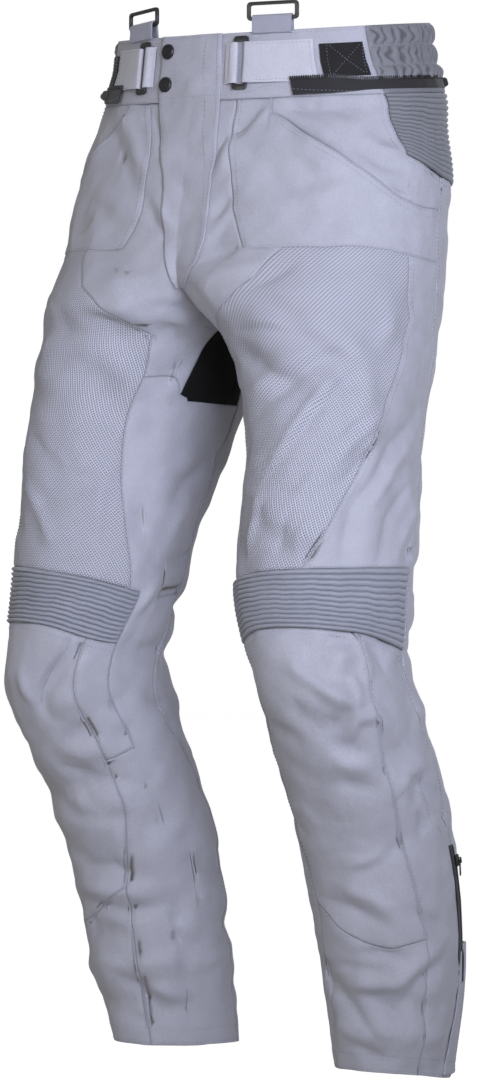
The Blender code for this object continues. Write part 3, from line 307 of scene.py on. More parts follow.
# The largest folds, which the solids have too; a degree counts as ARC metres
# columns: side, angle and level of both ends, half width, height
ARC = 0.0016
FOLDS = (
    (1, 60, -0.300, 100, -0.345, 0.014, -0.006),
    (1, 95, -0.250, 125, -0.330, 0.013, -0.005),
    (1, 130, -0.300, 150, -0.420, 0.015, 0.004),
    (1, 70, -0.440, 120, -0.480, 0.014, 0.004),
    (1, 215, -0.520, 320, -0.560, 0.013, -0.009),
    (1, 210, -0.585, 325, -0.600, 0.014, -0.008),
    (1, 200, -0.650, 320, -0.630, 0.016, 0.006),
    (1, 100, -0.610, 150, -0.660, 0.013, 0.007),
    (1, 90, -0.650, 140, -0.705, 0.013, -0.005),
    (1, 150, -0.690, 190, -0.760, 0.014, -0.006),
    (1, 60, -0.930, 150, -0.950, 0.013, -0.005),
    (1, 70, -0.975, 170, -0.985, 0.014, 0.005),
    (1, 220, -0.900, 330, -0.930, 0.014, -0.005),
    (-1, 50, -0.275, 110, -0.262, 0.014, -0.006),
    (-1, 60, -0.330, 120, -0.300, 0.015, 0.004),
    (-1, 30, -0.420, 80, -0.440, 0.014, -0.004),
    (-1, 210, -0.515, 325, -0.555, 0.013, -0.009),
    (-1, 215, -0.590, 320, -0.605, 0.014, -0.008),
    (-1, 205, -0.640, 325, -0.655, 0.016, 0.006),
    (-1, 45, -0.600, 68, -0.655, 0.010, -0.006),
    (-1, 40, -0.730, 120, -0.750, 0.014, -0.006),
    (-1, 60, -0.790, 130, -0.775, 0.015, 0.005),
    (-1, 20, -0.870, 100, -0.890, 0.014, -0.005),
    (-1, 30, -0.930, 120, -0.940, 0.015, 0.005),
    (-1, 20, -0.980, 110, -0.975, 0.014, -0.005),
    (-1, 220, -0.910, 330, -0.895, 0.014, -0.005),
)

# Creases, drawn one by one: troughs are negative
# columns: side, angle and level of the start, middle and end, half width and height in millimetres
CREASES = (
    (-1, 88, -0.250, 58, -0.262, 34, -0.278, 7, -4.5),
    (-1, 88, -0.242, 64, -0.250, 42, -0.262, 9, 2),
    (-1, 58, -0.290, 44, -0.310, 26, -0.342, 10, 2.5),
    (-1, 58, -0.310, 44, -0.334, 28, -0.366, 9, -2),
    (-1, 104, -0.358, 64, -0.410, 48, -0.418, 12, -3),
    (-1, 84, -0.378, 60, -0.414, 46, -0.402, 10, 2.5),
    (-1, 30, -0.394, 38, -0.422, 48, -0.462, 8, 2),
    (-1, 36, -0.442, 42, -0.474, 48, -0.498, 7, -1.8),
    (-1, 100, -0.422, 86, -0.458, 78, -0.490, 9, 2.2),
    (-1, 102, -0.194, 84, -0.206, 72, -0.210, 8, -2.5),
    (-1, 38, -0.246, 34, -0.246, 26, -0.254, 5, -4),
    (-1, 34, -0.262, 28, -0.266, 18, -0.282, 6, -3),
    (-1, 38, -0.254, 28, -0.262, 22, -0.270, 5, 2.5),
    (-1, 30, -0.306, 20, -0.314, 10, -0.326, 4, -1.5),
    (-1, 358, -0.446, 348, -0.422, 322, -0.386, 12, -3.5),
    (-1, 360, -0.490, 352, -0.462, 338, -0.442, 10, 2.5),
    (-1, 50, -0.582, 56, -0.614, 70, -0.654, 3, -2.6),
    (-1, 88, -0.610, 80, -0.638, 74, -0.654, 7, 2.5),
    (-1, 72, -0.694, 54, -0.686, 36, -0.670, 12, -3.5),
    (-1, 60, -0.662, 46, -0.650, 34, -0.638, 10, 2),
    (-1, 86, -0.718, 68, -0.726, 52, -0.730, 11, -3),
    (-1, 72, -0.702, 56, -0.706, 40, -0.698, 9, 2.5),
    (-1, 362, -0.594, 346, -0.594, 330, -0.602, 8, -5),
    (-1, 362, -0.542, 348, -0.538, 328, -0.534, 9, -5),
    (-1, 358, -0.506, 344, -0.502, 324, -0.494, 8, -4),
    (-1, 14, -0.558, 10, -0.542, 4, -0.530, 6, 2.5),
    (-1, 350, -0.646, 338, -0.654, 316, -0.654, 7, -4),
    (-1, 96, -0.758, 68, -0.762, 34, -0.746, 12, 2.2),
    (-1, 104, -0.830, 66, -0.826, 40, -0.842, 9, -4),
    (-1, 110, -0.850, 70, -0.854, 42, -0.854, 8, 2.8),
    (-1, 110, -0.866, 68, -0.874, 38, -0.870, 7, -3.5),
    (-1, 112, -0.906, 88, -0.898, 68, -0.890, 8, -3),
    (-1, 90, -0.882, 62, -0.890, 36, -0.878, 8, 2.5),
    (-1, 66, -0.926, 50, -0.918, 32, -0.914, 5, -3),
    (-1, 80, -0.946, 58, -0.958, 38, -0.986, 9, -4.5),
    (-1, 50, -0.954, 36, -0.962, 22, -0.974, 7, 3),
    (-1, 76, -0.986, 58, -0.994, 36, -0.986, 6, -3),
    (-1, 26, -0.878, 20, -0.882, 14, -0.878, 4, -2.5),
    (-1, 24, -0.894, 22, -0.902, 20, -0.906, 4, -2.5),
    (-1, 360, -0.818, 348, -0.834, 330, -0.842, 9, -3),
    (-1, 364, -0.934, 345, -0.930, 314, -0.926, 6, 3),
    (-1, 314, -0.762, 322, -0.794, 314, -0.818, 8, 2),
    (-1, 106, -0.046, 100, -0.062, 94, -0.082, 6, -2.5),
    (-1, 92, -0.134, 84, -0.158, 72, -0.182, 5, -3),
    (-1, 90, -0.130, 84, -0.150, 78, -0.166, 5, 2.2),
    (-1, 120, -0.046, 108, -0.078, 98, -0.110, 8, 2.6),
    (-1, 128, -0.054, 112, -0.090, 100, -0.122, 9, -2),
    (-1, 124, -0.118, 108, -0.134, 92, -0.146, 10, 1.8),
    (-1, 132, -0.162, 124, -0.158, 116, -0.150, 5, -3),
    (-1, 150, -0.270, 162, -0.330, 176, -0.400, 9, -2.6),
    (-1, 140, -0.590, 160, -0.612, 180, -0.640, 8, -4),
    (-1, 120, -0.690, 150, -0.720, 185, -0.730, 10, -3),
    (-1, 140, -0.860, 165, -0.880, 190, -0.874, 9, -3),
    (-1, 120, -0.940, 150, -0.955, 185, -0.968, 8, 2.6),
    (-1, 225, -0.180, 245, -0.215, 270, -0.235, 10, -3),
    (-1, 230, -0.260, 255, -0.282, 290, -0.290, 10, -3.5),
    (-1, 235, -0.460, 262, -0.480, 300, -0.470, 10, -3),
    (-1, 222, -0.550, 255, -0.572, 300, -0.578, 8, -5),
    (-1, 230, -0.615, 262, -0.626, 296, -0.620, 8, -4),
    (-1, 225, -0.690, 255, -0.712, 290, -0.700, 11, -3),
    (-1, 215, -0.800, 250, -0.812, 285, -0.795, 11, 2.5),
    (-1, 225, -0.860, 262, -0.880, 300, -0.868, 9, -3.5),
    (-1, 230, -0.960, 265, -0.972, 305, -0.958, 9, -3),
    (1, 88, -0.238, 106, -0.222, 118, -0.210, 8, -3),
    (1, 62, -0.278, 86, -0.274, 104, -0.286, 8, -3.5),
    (1, 72, -0.270, 92, -0.266, 112, -0.278, 8, 2),
    (1, 50, -0.342, 94, -0.306, 120, -0.290, 8, 3.2),
    (1, 52, -0.366, 92, -0.326, 120, -0.298, 7, -2.6),
    (1, 72, -0.418, 100, -0.354, 132, -0.298, 8, 3.4),
    (1, 148, -0.290, 154, -0.274, 156, -0.258, 8, 2.2),
    (1, 80, -0.414, 104, -0.358, 128, -0.322, 6, -2.8),
    (1, 98, -0.454, 114, -0.394, 138, -0.350, 7, 3),
    (1, 104, -0.426, 116, -0.390, 134, -0.366, 6, -2.8),
    (1, 118, -0.414, 130, -0.386, 148, -0.354, 7, 2.6),
    (1, 126, -0.434, 136, -0.406, 154, -0.378, 6, -2.2),
    (1, 48, -0.430, 46, -0.462, 52, -0.498, 7, -2.4),
    (1, 74, -0.442, 72, -0.474, 70, -0.502, 7, 2.6),
    (1, 100, -0.446, 98, -0.474, 98, -0.502, 6, -2.4),
    (1, 114, -0.462, 110, -0.482, 110, -0.506, 6, 2.2),
    (1, 186, -0.346, 156, -0.394, 138, -0.450, 9, -3),
    (1, 182, -0.374, 160, -0.414, 150, -0.454, 8, 2.4),
    (1, 138, -0.446, 138, -0.474, 140, -0.506, 7, -2.2),
    (1, 182, -0.422, 166, -0.458, 164, -0.502, 7, -3.2),
    (1, 196, -0.442, 184, -0.474, 180, -0.502, 7, 2.4),
    (1, 182, -0.494, 196, -0.494, 212, -0.494, 5, -4),
    (1, 116, -0.602, 128, -0.582, 154, -0.578, 6, -4.5),
    (1, 124, -0.606, 136, -0.594, 148, -0.594, 10, 3),
    (1, 156, -0.582, 162, -0.598, 168, -0.622, 6, -6),
    (1, 150, -0.586, 152, -0.606, 146, -0.630, 6, 3),
    (1, 152, -0.578, 168, -0.582, 188, -0.594, 5, -3),
    (1, 138, -0.614, 140, -0.626, 140, -0.642, 6, 3.2),
    (1, 136, -0.642, 140, -0.646, 144, -0.650, 6, -6),
    (1, 120, -0.658, 126, -0.654, 136, -0.650, 6, -4),
    (1, 112, -0.622, 118, -0.630, 128, -0.638, 9, 2.5),
    (1, 126, -0.682, 134, -0.666, 150, -0.654, 5, -3),
    (1, 122, -0.674, 132, -0.658, 146, -0.654, 6, 2.6),
    (1, 108, -0.662, 118, -0.666, 128, -0.666, 9, -3.5),
    (1, 106, -0.682, 116, -0.686, 128, -0.690, 9, -3.5),
    (1, 52, -0.662, 66, -0.670, 80, -0.678, 8, -4),
    (1, 104, -0.698, 116, -0.702, 138, -0.698, 9, 2.4),
    (1, 104, -0.722, 116, -0.726, 134, -0.726, 10, -3),
    (1, 150, -0.730, 158, -0.718, 174, -0.706, 6, 2.6),
    (1, 154, -0.746, 166, -0.730, 176, -0.718, 6, -2.4),
    (1, 174, -0.606, 184, -0.602, 204, -0.594, 5, -5),
    (1, 100, -0.814, 112, -0.810, 126, -0.802, 5, -2),
    (1, 102, -0.806, 114, -0.802, 128, -0.794, 6, 1.8),
    (1, 66, -0.842, 96, -0.850, 126, -0.870, 11, -4.5),
    (1, 90, -0.830, 112, -0.838, 132, -0.858, 8, 2.4),
    (1, 84, -0.898, 116, -0.894, 144, -0.902, 7, -3.2),
    (1, 50, -0.910, 90, -0.910, 116, -0.914, 6, -3),
    (1, 76, -0.930, 126, -0.926, 174, -0.882, 8, 3.4),
    (1, 56, -0.926, 86, -0.950, 112, -0.986, 9, -5.5),
    (1, 96, -0.938, 120, -0.950, 142, -0.974, 8, -4),
    (1, 82, -0.990, 102, -0.998, 120, -1.006, 7, -3),
    (1, 132, -0.946, 146, -0.922, 172, -0.902, 5, -2.6),
    (1, 144, -0.850, 158, -0.862, 180, -0.874, 7, -3.5),
    (1, 160, -0.778, 162, -0.762, 162, -0.750, 5, -2.4),
    (1, 130, -0.802, 136, -0.790, 144, -0.778, 6, -2.6),
    (1, 92, -0.106, 96, -0.086, 102, -0.066, 5, -3),
    (1, 94, -0.110, 98, -0.090, 102, -0.074, 5, 2),
    (1, 88, -0.162, 92, -0.150, 96, -0.134, 5, -3),
    (1, 84, -0.190, 90, -0.174, 96, -0.154, 5, -3),
    (1, 86, -0.178, 92, -0.162, 96, -0.146, 5, 2.2),
    (1, 72, -0.206, 86, -0.198, 96, -0.190, 6, -3.2),
    (1, 66, -0.226, 82, -0.218, 96, -0.210, 7, 1.8),
    (1, 102, -0.074, 108, -0.058, 112, -0.042, 6, -2.4),
    (1, 106, -0.074, 110, -0.058, 114, -0.046, 6, 1.8),
    (1, 120, -0.042, 124, -0.046, 130, -0.054, 4, -3.2),
    (1, 128, -0.042, 130, -0.046, 134, -0.054, 4, -3),
    (1, 132, -0.046, 138, -0.050, 144, -0.058, 4, -3.2),
    (1, 144, -0.090, 154, -0.110, 168, -0.118, 7, -4),
    (1, 148, -0.082, 156, -0.094, 168, -0.102, 8, 2.6),
    (1, 158, -0.130, 164, -0.134, 172, -0.134, 6, -3.2),
    (1, 122, -0.090, 128, -0.102, 134, -0.114, 8, 2),
    (1, 116, -0.142, 128, -0.142, 140, -0.134, 12, 1.5),
    (1, 225, -0.185, 250, -0.212, 272, -0.240, 10, -3),
    (1, 232, -0.265, 258, -0.285, 292, -0.286, 10, -3.5),
    (1, 228, -0.455, 258, -0.476, 302, -0.468, 10, -3),
    (1, 220, -0.545, 258, -0.570, 305, -0.582, 8, -5),
    (1, 232, -0.612, 260, -0.622, 298, -0.616, 8, -4),
    (1, 222, -0.685, 252, -0.708, 292, -0.704, 11, -3),
    (1, 215, -0.795, 248, -0.808, 282, -0.798, 11, 2.5),
    (1, 228, -0.855, 260, -0.874, 302, -0.872, 9, -3.5),
    (1, 228, -0.952, 262, -0.968, 300, -0.962, 9, -3),
)

# Low waves all over the cloth, so that nothing is quite smooth
# columns: height, waves a metre along x, y and z, phase
WAVES = (
    (0.00070, 9.0, 7.0, 4.0, 0.3),
    (0.00055, -6.0, 11.0, 8.0, 1.7),
    (0.00040, 17.0, -12.0, 6.0, 4.1),
    (0.00030, 14.0, 19.0, -13.0, 2.6),
    (0.00018, -31.0, 24.0, 20.0, 5.2),
)

# Panels of each side as patches of the grid, between key columns and key rows
# columns: first and last column, first and last row
PANELS = {
    "front": (("centre_front", "pocket_front", "waist_seam", "crotch"),
              ("fly_offset", "pocket_front", "crotch", "gusset_bottom"),
              ("pocket_front", "mesh_inner", "pocket_bottom", "gusset_bottom")),
    "pocket_panel": (("pocket_front", "mesh_inner", "waist_seam", "pocket_bottom"),
                     ("mesh_inner", "outseam", "pocket_mouth", "pocket_bottom")),
    "hip_front": (("mesh_inner", "mesh_outer", "waist_seam", "pocket_mouth"),
                  ("mesh_outer", "outseam", "yoke", "pocket_mouth")),
    "yoke": (("mesh_outer", "centre_back", "waist_seam", "yoke"),),
    "back_leg": (("outseam", "centre_back", "yoke", "gusset_top"),
                 ("outseam", "back_inseam", "gusset_top", "hem")),
    "thigh_mesh": (("mesh_inner", "mesh_outer", "pocket_bottom", "knee_top"),),
    "thigh_outer": (("mesh_outer", "outseam", "pocket_bottom", "knee_top"),),
    "inner_leg": (("centre_front", "pocket_front", "gusset_bottom", "hem"),
                  ("pocket_front", "mesh_inner", "gusset_bottom", "knee_top"),
                  ("pocket_front", "mesh_inner", "strip_bottom", "hem"),
                  ("back_inseam", "centre_back", "gusset_bottom", "hem")),
    "knee_ribs": (("pocket_front", "outseam", "knee_top", "knee_bottom"),),
    "shin_strip": (("pocket_front", "mesh_inner", "knee_bottom", "strip_bottom"),),
    "shin_panel": (("mesh_inner", "mesh_outer", "knee_bottom", "shin_bottom"),),
    "ankle_front": (("mesh_inner", "mesh_outer", "shin_bottom", "hem"),),
    "shin_outer": (("mesh_outer", "outseam", "knee_bottom", "hem"),),
}


def straight(rows, level):
    """Reads the second column of a table whose first column falls."""
    table = np.array(rows, float)
    return np.interp(-np.asarray(level, float), -table[:, 0], table[:, 1])


def smooth(rows, level):
    """Reads a table whose first column falls, along smooth curves."""
    table = np.array(rows, float)
    known, values = table[:, 0], table[:, 1:]
    level = np.clip(level, known[-1], known[0])
    k = np.clip(np.searchsorted(-known, -level, side="right") - 1, 0, len(known) - 2)
    before, after = np.maximum(k - 1, 0), np.minimum(k + 2, len(known) - 1)
    span = (known[k + 1] - known[k])[..., None]
    t = (level - known[k])[..., None] / span
    start = (values[k + 1] - values[before]) / (known[k + 1] - known[before])[..., None] * span
    end = (values[after] - values[k]) / (known[after] - known[k])[..., None] * span
    return ((2 * t**3 - 3 * t**2 + 1) * values[k] + (t**3 - 2 * t**2 + t) * start
            + (3 * t**2 - 2 * t**3) * values[k + 1] + (t**3 - t**2) * end)


def power(value, exponent):
    return np.sign(value) * np.abs(value) ** exponent


def form(level, angle):
    """Points of the plain form on the wearer's left."""
    level, angle = np.broadcast_arrays(np.asarray(level, float), np.asarray(angle, float))
    out, back, width, front, behind, roundness, toe_out = np.moveaxis(smooth(SECTIONS, level), -1, 0)
    turn = np.radians(toe_out)
    sine = np.sin(np.radians(angle))
    across = -width * power(np.cos(np.radians(angle)), 2 / roundness)
    forward = np.where(sine > 0, front, behind) * power(sine, 2 / roundness)
    x = out + across * np.cos(turn) + forward * np.sin(turn)
    y = back + across * np.sin(turn) - forward * np.cos(turn)
    beside = (x - SEAT["out"]) / SEAT["spread"]
    below = (level - SEAT["level"]) / SEAT["fall"]
    seat = SEAT["depth"] * np.exp(-beside**2 - below**2) * np.clip(-2 * sine, 0, 1)
    y = y + seat
    share = (y - back + front) / (front + behind)
    return np.stack([x, y, level + straight(BACK_RISE, level) * share], -1)


def bisect(test, low, high):
    """The places between low and high up to which the test is true."""
    low, high = np.array(low, float), np.array(high, float)
    for _ in range(36):
        middle = (low + high) / 2
        inside = test(middle)
        low = np.where(inside, middle, low)
        high = np.where(inside, high, middle)
    return (low + high) / 2


CROTCH = float(bisect(lambda level: form(level, 0)[..., 0] > 0, [-0.30], [-0.20])[0])
MIDDLE_LEVELS = np.linspace(CROTCH, 0.045, 1400)
FRONT_MIDDLE = bisect(lambda angle: form(MIDDLE_LEVELS, angle)[..., 0] < 0, MIDDLE_LEVELS * 0,
                      MIDDLE_LEVELS * 0 + 170)
BACK_MIDDLE = bisect(lambda angle: form(MIDDLE_LEVELS, angle)[..., 0] > 0, MIDDLE_LEVELS * 0 + 190,
                     MIDDLE_LEVELS * 0 + 360)


def middle_angle(level, front):
    """Where the leg's section meets the middle of the body, or the inseam below the crotch."""
    known = FRONT_MIDDLE if front else BACK_MIDDLE
    return np.where(level <= CROTCH + 1e-6, 0.0 if front else 360.0, np.interp(level, MIDDLE_LEVELS, known))


def line_angle(name, level):
    """The angle of a style line, kept in order between the middle of the front and of the back."""
    front = middle_angle(level, True)
    if name == "centre_front":
        return front
    if name == "centre_back":
        return middle_angle(level, False)
    angle = straight(STYLE_LINES[name], level)
    if name == "fly_offset":
        return front + angle
    if name == "pocket_front":
        return np.maximum(angle, front + straight(STYLE_LINES["fly_offset"], level) + 4)
    if name == "back_inseam":
        return np.minimum(angle, middle_angle(level, False) - 6)
    return angle


def numbers(table):
    """The number of each key line of a table, which gives the cells up to the next one."""
    count, found = 0, {}
    for name, cells, *_ in table:
        found[name] = count
        count += cells
    return found


COLUMN = numbers(COLUMNS)
ROW = numbers(ROWS)
LAST_COLUMN = COLUMN["centre_back"]
LAST_ROW = ROW["hem"]
ELASTIC_END = COLUMN["outseam"] + 2
FLY_END = ROW["gusset_top"] - 1


def across_stations(values, column):
    """A smooth curve round the leg through the values at the stations."""
    rows = [(-station, CROTCH if value is None else value) for station, value in zip(STATIONS, values)]
    return smooth(rows, -column)[..., 0]


def cell_level(side, column, row):
    """The level of places on the grid."""
    side, column, row = np.broadcast_arrays(side, np.asarray(column, float), np.clip(row, 0, LAST_ROW))
    level = np.zeros(column.shape)
    for (name, cells, levels), (_, _, lower) in zip(ROWS, ROWS[1:]):
        share = (row - ROW[name]) / cells
        above = across_stations(levels, column)
        below = across_stations(lower, column)
        level = np.where((share >= -1e-9) & (share <= 1 + 1e-9), above + (below - above) * share, level)
    rise = straight(RIGHT_RISE, level) * np.interp(column, STATIONS, RISE_SHARES)
    return level + np.where(side == -1, rise, 0)


def cell_angle(column, level):
    """The angle of places on the grid."""
    column, level = np.broadcast_arrays(np.clip(column, 0, LAST_COLUMN), np.asarray(level, float))
    angle = np.zeros(column.shape)
    for (name, cells), (next_name, _) in zip(COLUMNS, COLUMNS[1:]):
        share = (column - COLUMN[name]) / cells
        start, end = line_angle(name, level), line_angle(next_name, level)
        angle = np.where((share >= -1e-9) & (share <= 1 + 1e-9), start + (end - start) * share, angle)
    return angle


def fly_shifted(side, level, angle):
    """The sides and angles of places once the fly's middle has been moved over."""
    front = middle_angle(level, True)
    around = side * (angle - front)
    around = around + straight(FLY_SHIFT, level) * np.clip(1 - np.abs(around) / FLY_SHIFT_REACH, 0, 1)
    return np.where(around * side < 0, -side, side), front + np.abs(around)


def fold_height(side, angle, level):
    """How far the largest folds move the cloth out."""
    total = np.zeros(angle.shape)
    for fold_side, angle_a, level_a, angle_b, level_b, width, height in FOLDS:
        along = np.array(((angle_b - angle_a) * ARC, level_b - level_a))
        across, down = (angle - angle_a) * ARC, level - level_a
        share = np.clip((across * along[0] + down * along[1]) / (along @ along), 0, 1)
        away = np.hypot(across - along[0] * share, down - along[1] * share)
        total += np.where(side == fold_side, height * np.exp(-(away / width) ** 2), 0)
    return total


def arc_at(level):
    """Metres round the leg for each degree at a level."""
    row = smooth(SECTIONS, np.asarray(level, float))
    return (row[..., 2] + (row[..., 3] + row[..., 4]) / 2) / 2 * math.pi / 180


def crease_height(side, angle, level):
    """How far the creases move the cloth out. Troughs are sharper than ridges."""
    total = np.zeros(angle.shape)
    for crease_side, *ends, width, height in CREASES:
        angles, levels = np.array(ends[0::2], float), np.array(ends[1::2])
        arc = float(arc_at(levels[1]))
        turned = np.where(angle < angles.mean() - 180, angle + 360, angle)
        turned = np.where(turned > angles.mean() + 180, turned - 360, turned)
        width = max(width / 1000 * CREASE_WIDTH, NARROWEST)
        height = math.copysign(min(abs(height / 1000) * CREASE_DEPTH, width * STEEPEST), height)
        near = ((side == crease_side) & (np.abs(level - levels.mean()) < 0.12)
                & (np.abs(turned - angles.mean()) < 90))
        across, down = turned[near] * arc, level[near]
        best = np.full(across.shape, 9.0)
        place = np.zeros(across.shape)
        for k in (0, 1):
            start = np.array((angles[k] * arc, levels[k]))
            step = np.array((angles[k + 1] * arc, levels[k + 1])) - start
            share = (across - start[0]) * step[0] + (down - start[1]) * step[1]
            share = np.clip(share / (step @ step), 0, 1)
            away = np.hypot(across - start[0] - step[0] * share, down - start[1] - step[1] * share)
            place = np.where(away < best, (k + share) / 2, place)
            best = np.minimum(best, away)
        fade = 0.25 + 0.75 * np.sin(math.pi * place)
        best = np.sqrt(best**2 + BLUNT**2) - BLUNT
        shape = np.exp(-(best / width) ** (1.2 if height < 0 else 1.8))
        total[near] += height * fade * shape
    return total


def waves(points):
    total = np.zeros(len(points))
    for height, x, y, z, phase in WAVES:
        turn = points @ np.array((x, y, z)) * 2 * math.pi + phase
        total += height * np.sin(turn + 1.3 * np.sin(points @ np.array((z, x, y)) * 4 + phase * 2))
    return total


def crumple(points):
    """Small sharp crinkles that run every way."""
    total = np.zeros(len(points))
    for k, (x, y, z) in enumerate(points):
        long = noise.noise(Vector((x * 15 + 3, y * 15, z * 22 + x * 9)))
        short = noise.noise(Vector((x * 37, y * 37 + 7, z * 46 - y * 15)))
        total[k] = 0.0030 * math.sqrt(long * long + 0.003) + 0.0015 * math.sqrt(short * short + 0.004)
    return total - 0.0010


def places(side, column, row):
    """The plain cloth's points with its largest folds, and their sides, angles and levels."""
    level = cell_level(side, column, row)
    side = np.broadcast_to(side, level.shape)
    part_side, angle = fly_shifted(side, level, cell_angle(column, level))
    points = form(level, angle)
    beside = form(level, angle + 2) - form(level, angle - 2)
    outward = np.stack([beside[..., 1], -beside[..., 0], 0 * level], -1)
    outward /= np.linalg.norm(outward, axis=-1, keepdims=True)
    crotch = ROW["crotch"] + 1e-6
    back = (np.abs(column - LAST_COLUMN) < 1e-6) & (row <= crotch)
    centre = back | ((np.abs(column) < 1e-6) & (np.abs(row - ROW["crotch"]) < 1e-6))
    height = np.where(centre, 0, fold_height(part_side, angle, level))
    points = points + outward * height[..., None]
    points[..., 0] *= np.where(centre, 0, part_side)
    points[..., 2] += straight(LEAN, level) * points[..., 0]
    return points, part_side, angle, level


def normals_of(points, faces):
    """The direction outward at each point of a mesh of quads."""
    corners = points[faces]
    normal = np.cross(corners[:, 2] - corners[:, 0], corners[:, 3] - corners[:, 1])
    total = np.zeros(points.shape)
    for k in range(4):
        np.add.at(total, faces[:, k], normal)
    return total / np.maximum(np.linalg.norm(total, axis=1, keepdims=True), 1e-12)


def grid_lines(keys, last, cells):
    """Where the lines of a panel's mesh lie: evenly, and closer beside the panel's own seams."""
    beside = [key + step for key in keys for step in (-0.11, -0.045, 0.045, 0.11)]
    lines = np.unique(np.round(np.concatenate([np.arange(last * cells + 1) / cells, beside]), 6))
    return lines[(lines >= 0) & (lines <= last)]


def line_range(lines, first, end):
    return np.arange(np.searchsorted(lines, first - 1e-5), np.searchsorted(lines, end + 1e-5))


class Lattice:
    """The vertices and faces of a panel, cut from patches of the grid: (side, columns, rows) by number."""

    def __init__(self, patches, across, down):
        codes, columns, rows, quads, sides = [], [], [], [], []
        column_lines = grid_lines({end for patch in patches for end in patch[1]}, LAST_COLUMN, across)
        row_lines = grid_lines({end for patch in patches for end in patch[2]}, LAST_ROW, down)
        count = 0
        for side, (first, end), (top, bottom) in patches:
            i, j = np.meshgrid(line_range(column_lines, first, end), line_range(row_lines, top, bottom),
                               indexing="ij")
            column, row = column_lines[i], row_lines[j]
            edge = (column < 1e-6) | (column > LAST_COLUMN - 1e-6)
            code_side = np.where(edge & (row <= ROW["crotch"] + 1e-6), 0, 1 if side == 1 else 2)
            code_column = np.where(edge & (row >= ROW["crotch"] - 1e-6), 0, i)
            codes.append(((code_side * SIDE_CODE + code_column) * COLUMN_CODE + j).ravel())
            columns.append(column.ravel())
            rows.append(row.ravel())
            sides.append(np.full(i.size, side))
            index = np.arange(i.size).reshape(i.shape) + count
            ring = [index[:-1, :-1], index[1:, :-1], index[1:, 1:], index[:-1, 1:]]
            quad = np.stack(ring, -1).reshape(-1, 4)
            quads.append(quad[:, ::-1] if side == 1 else quad)
            count += i.size
        codes, quads = np.concatenate(codes), np.concatenate(quads)
        _, first, merged = np.unique(codes, return_index=True, return_inverse=True)
        merged = merged.reshape(-1)
        self.column = np.concatenate(columns)[first]
        self.row = np.concatenate(rows)[first]
        self.grid_side = np.concatenate(sides)[first]
        self.corner_column = np.concatenate(columns)[quads]
        self.faces = merged[quads]
        self.points, self.side, self.angle, self.level = places(self.grid_side, self.column, self.row)
        self.normals = normals_of(self.points, self.faces)

    def uv(self):
        """Metres round and down the cloth at each corner of each face."""
        angle = self.angle[self.faces]
        below = self.level[self.faces] <= CROTCH
        angle = np.where(below & (self.corner_column > LAST_COLUMN - 1e-6), 360.0, angle)
        level = self.level[self.faces]
        side = self.side[self.faces]
        return np.stack([(angle - 90) * arc_at(level) * side, level], -1).reshape(-1, 2)

    def edge_distance(self):
        """How far each vertex is from the panel's sewn edge."""
        pairs = np.concatenate([self.faces[:, [k, (k + 1) % 4]] for k in range(4)])
        pairs = np.sort(pairs, axis=1)
        pairs, uses = np.unique(pairs, axis=0, return_counts=True)
        pairs = pairs[uses == 1]
        free = (self.row[pairs] < 1e-6).all(1) | (self.row[pairs] > LAST_ROW - 1e-6).all(1)
        pairs = pairs[~free]
        line = np.concatenate([self.points[pairs[:, 0]] * (1 - s) + self.points[pairs[:, 1]] * s
                               for s in (0, 0.5)])
        tree = KDTree(len(line))
        for k, point in enumerate(line):
            tree.insert(point, k)
        tree.balance()
        return np.array([tree.find(point)[2] for point in self.points])


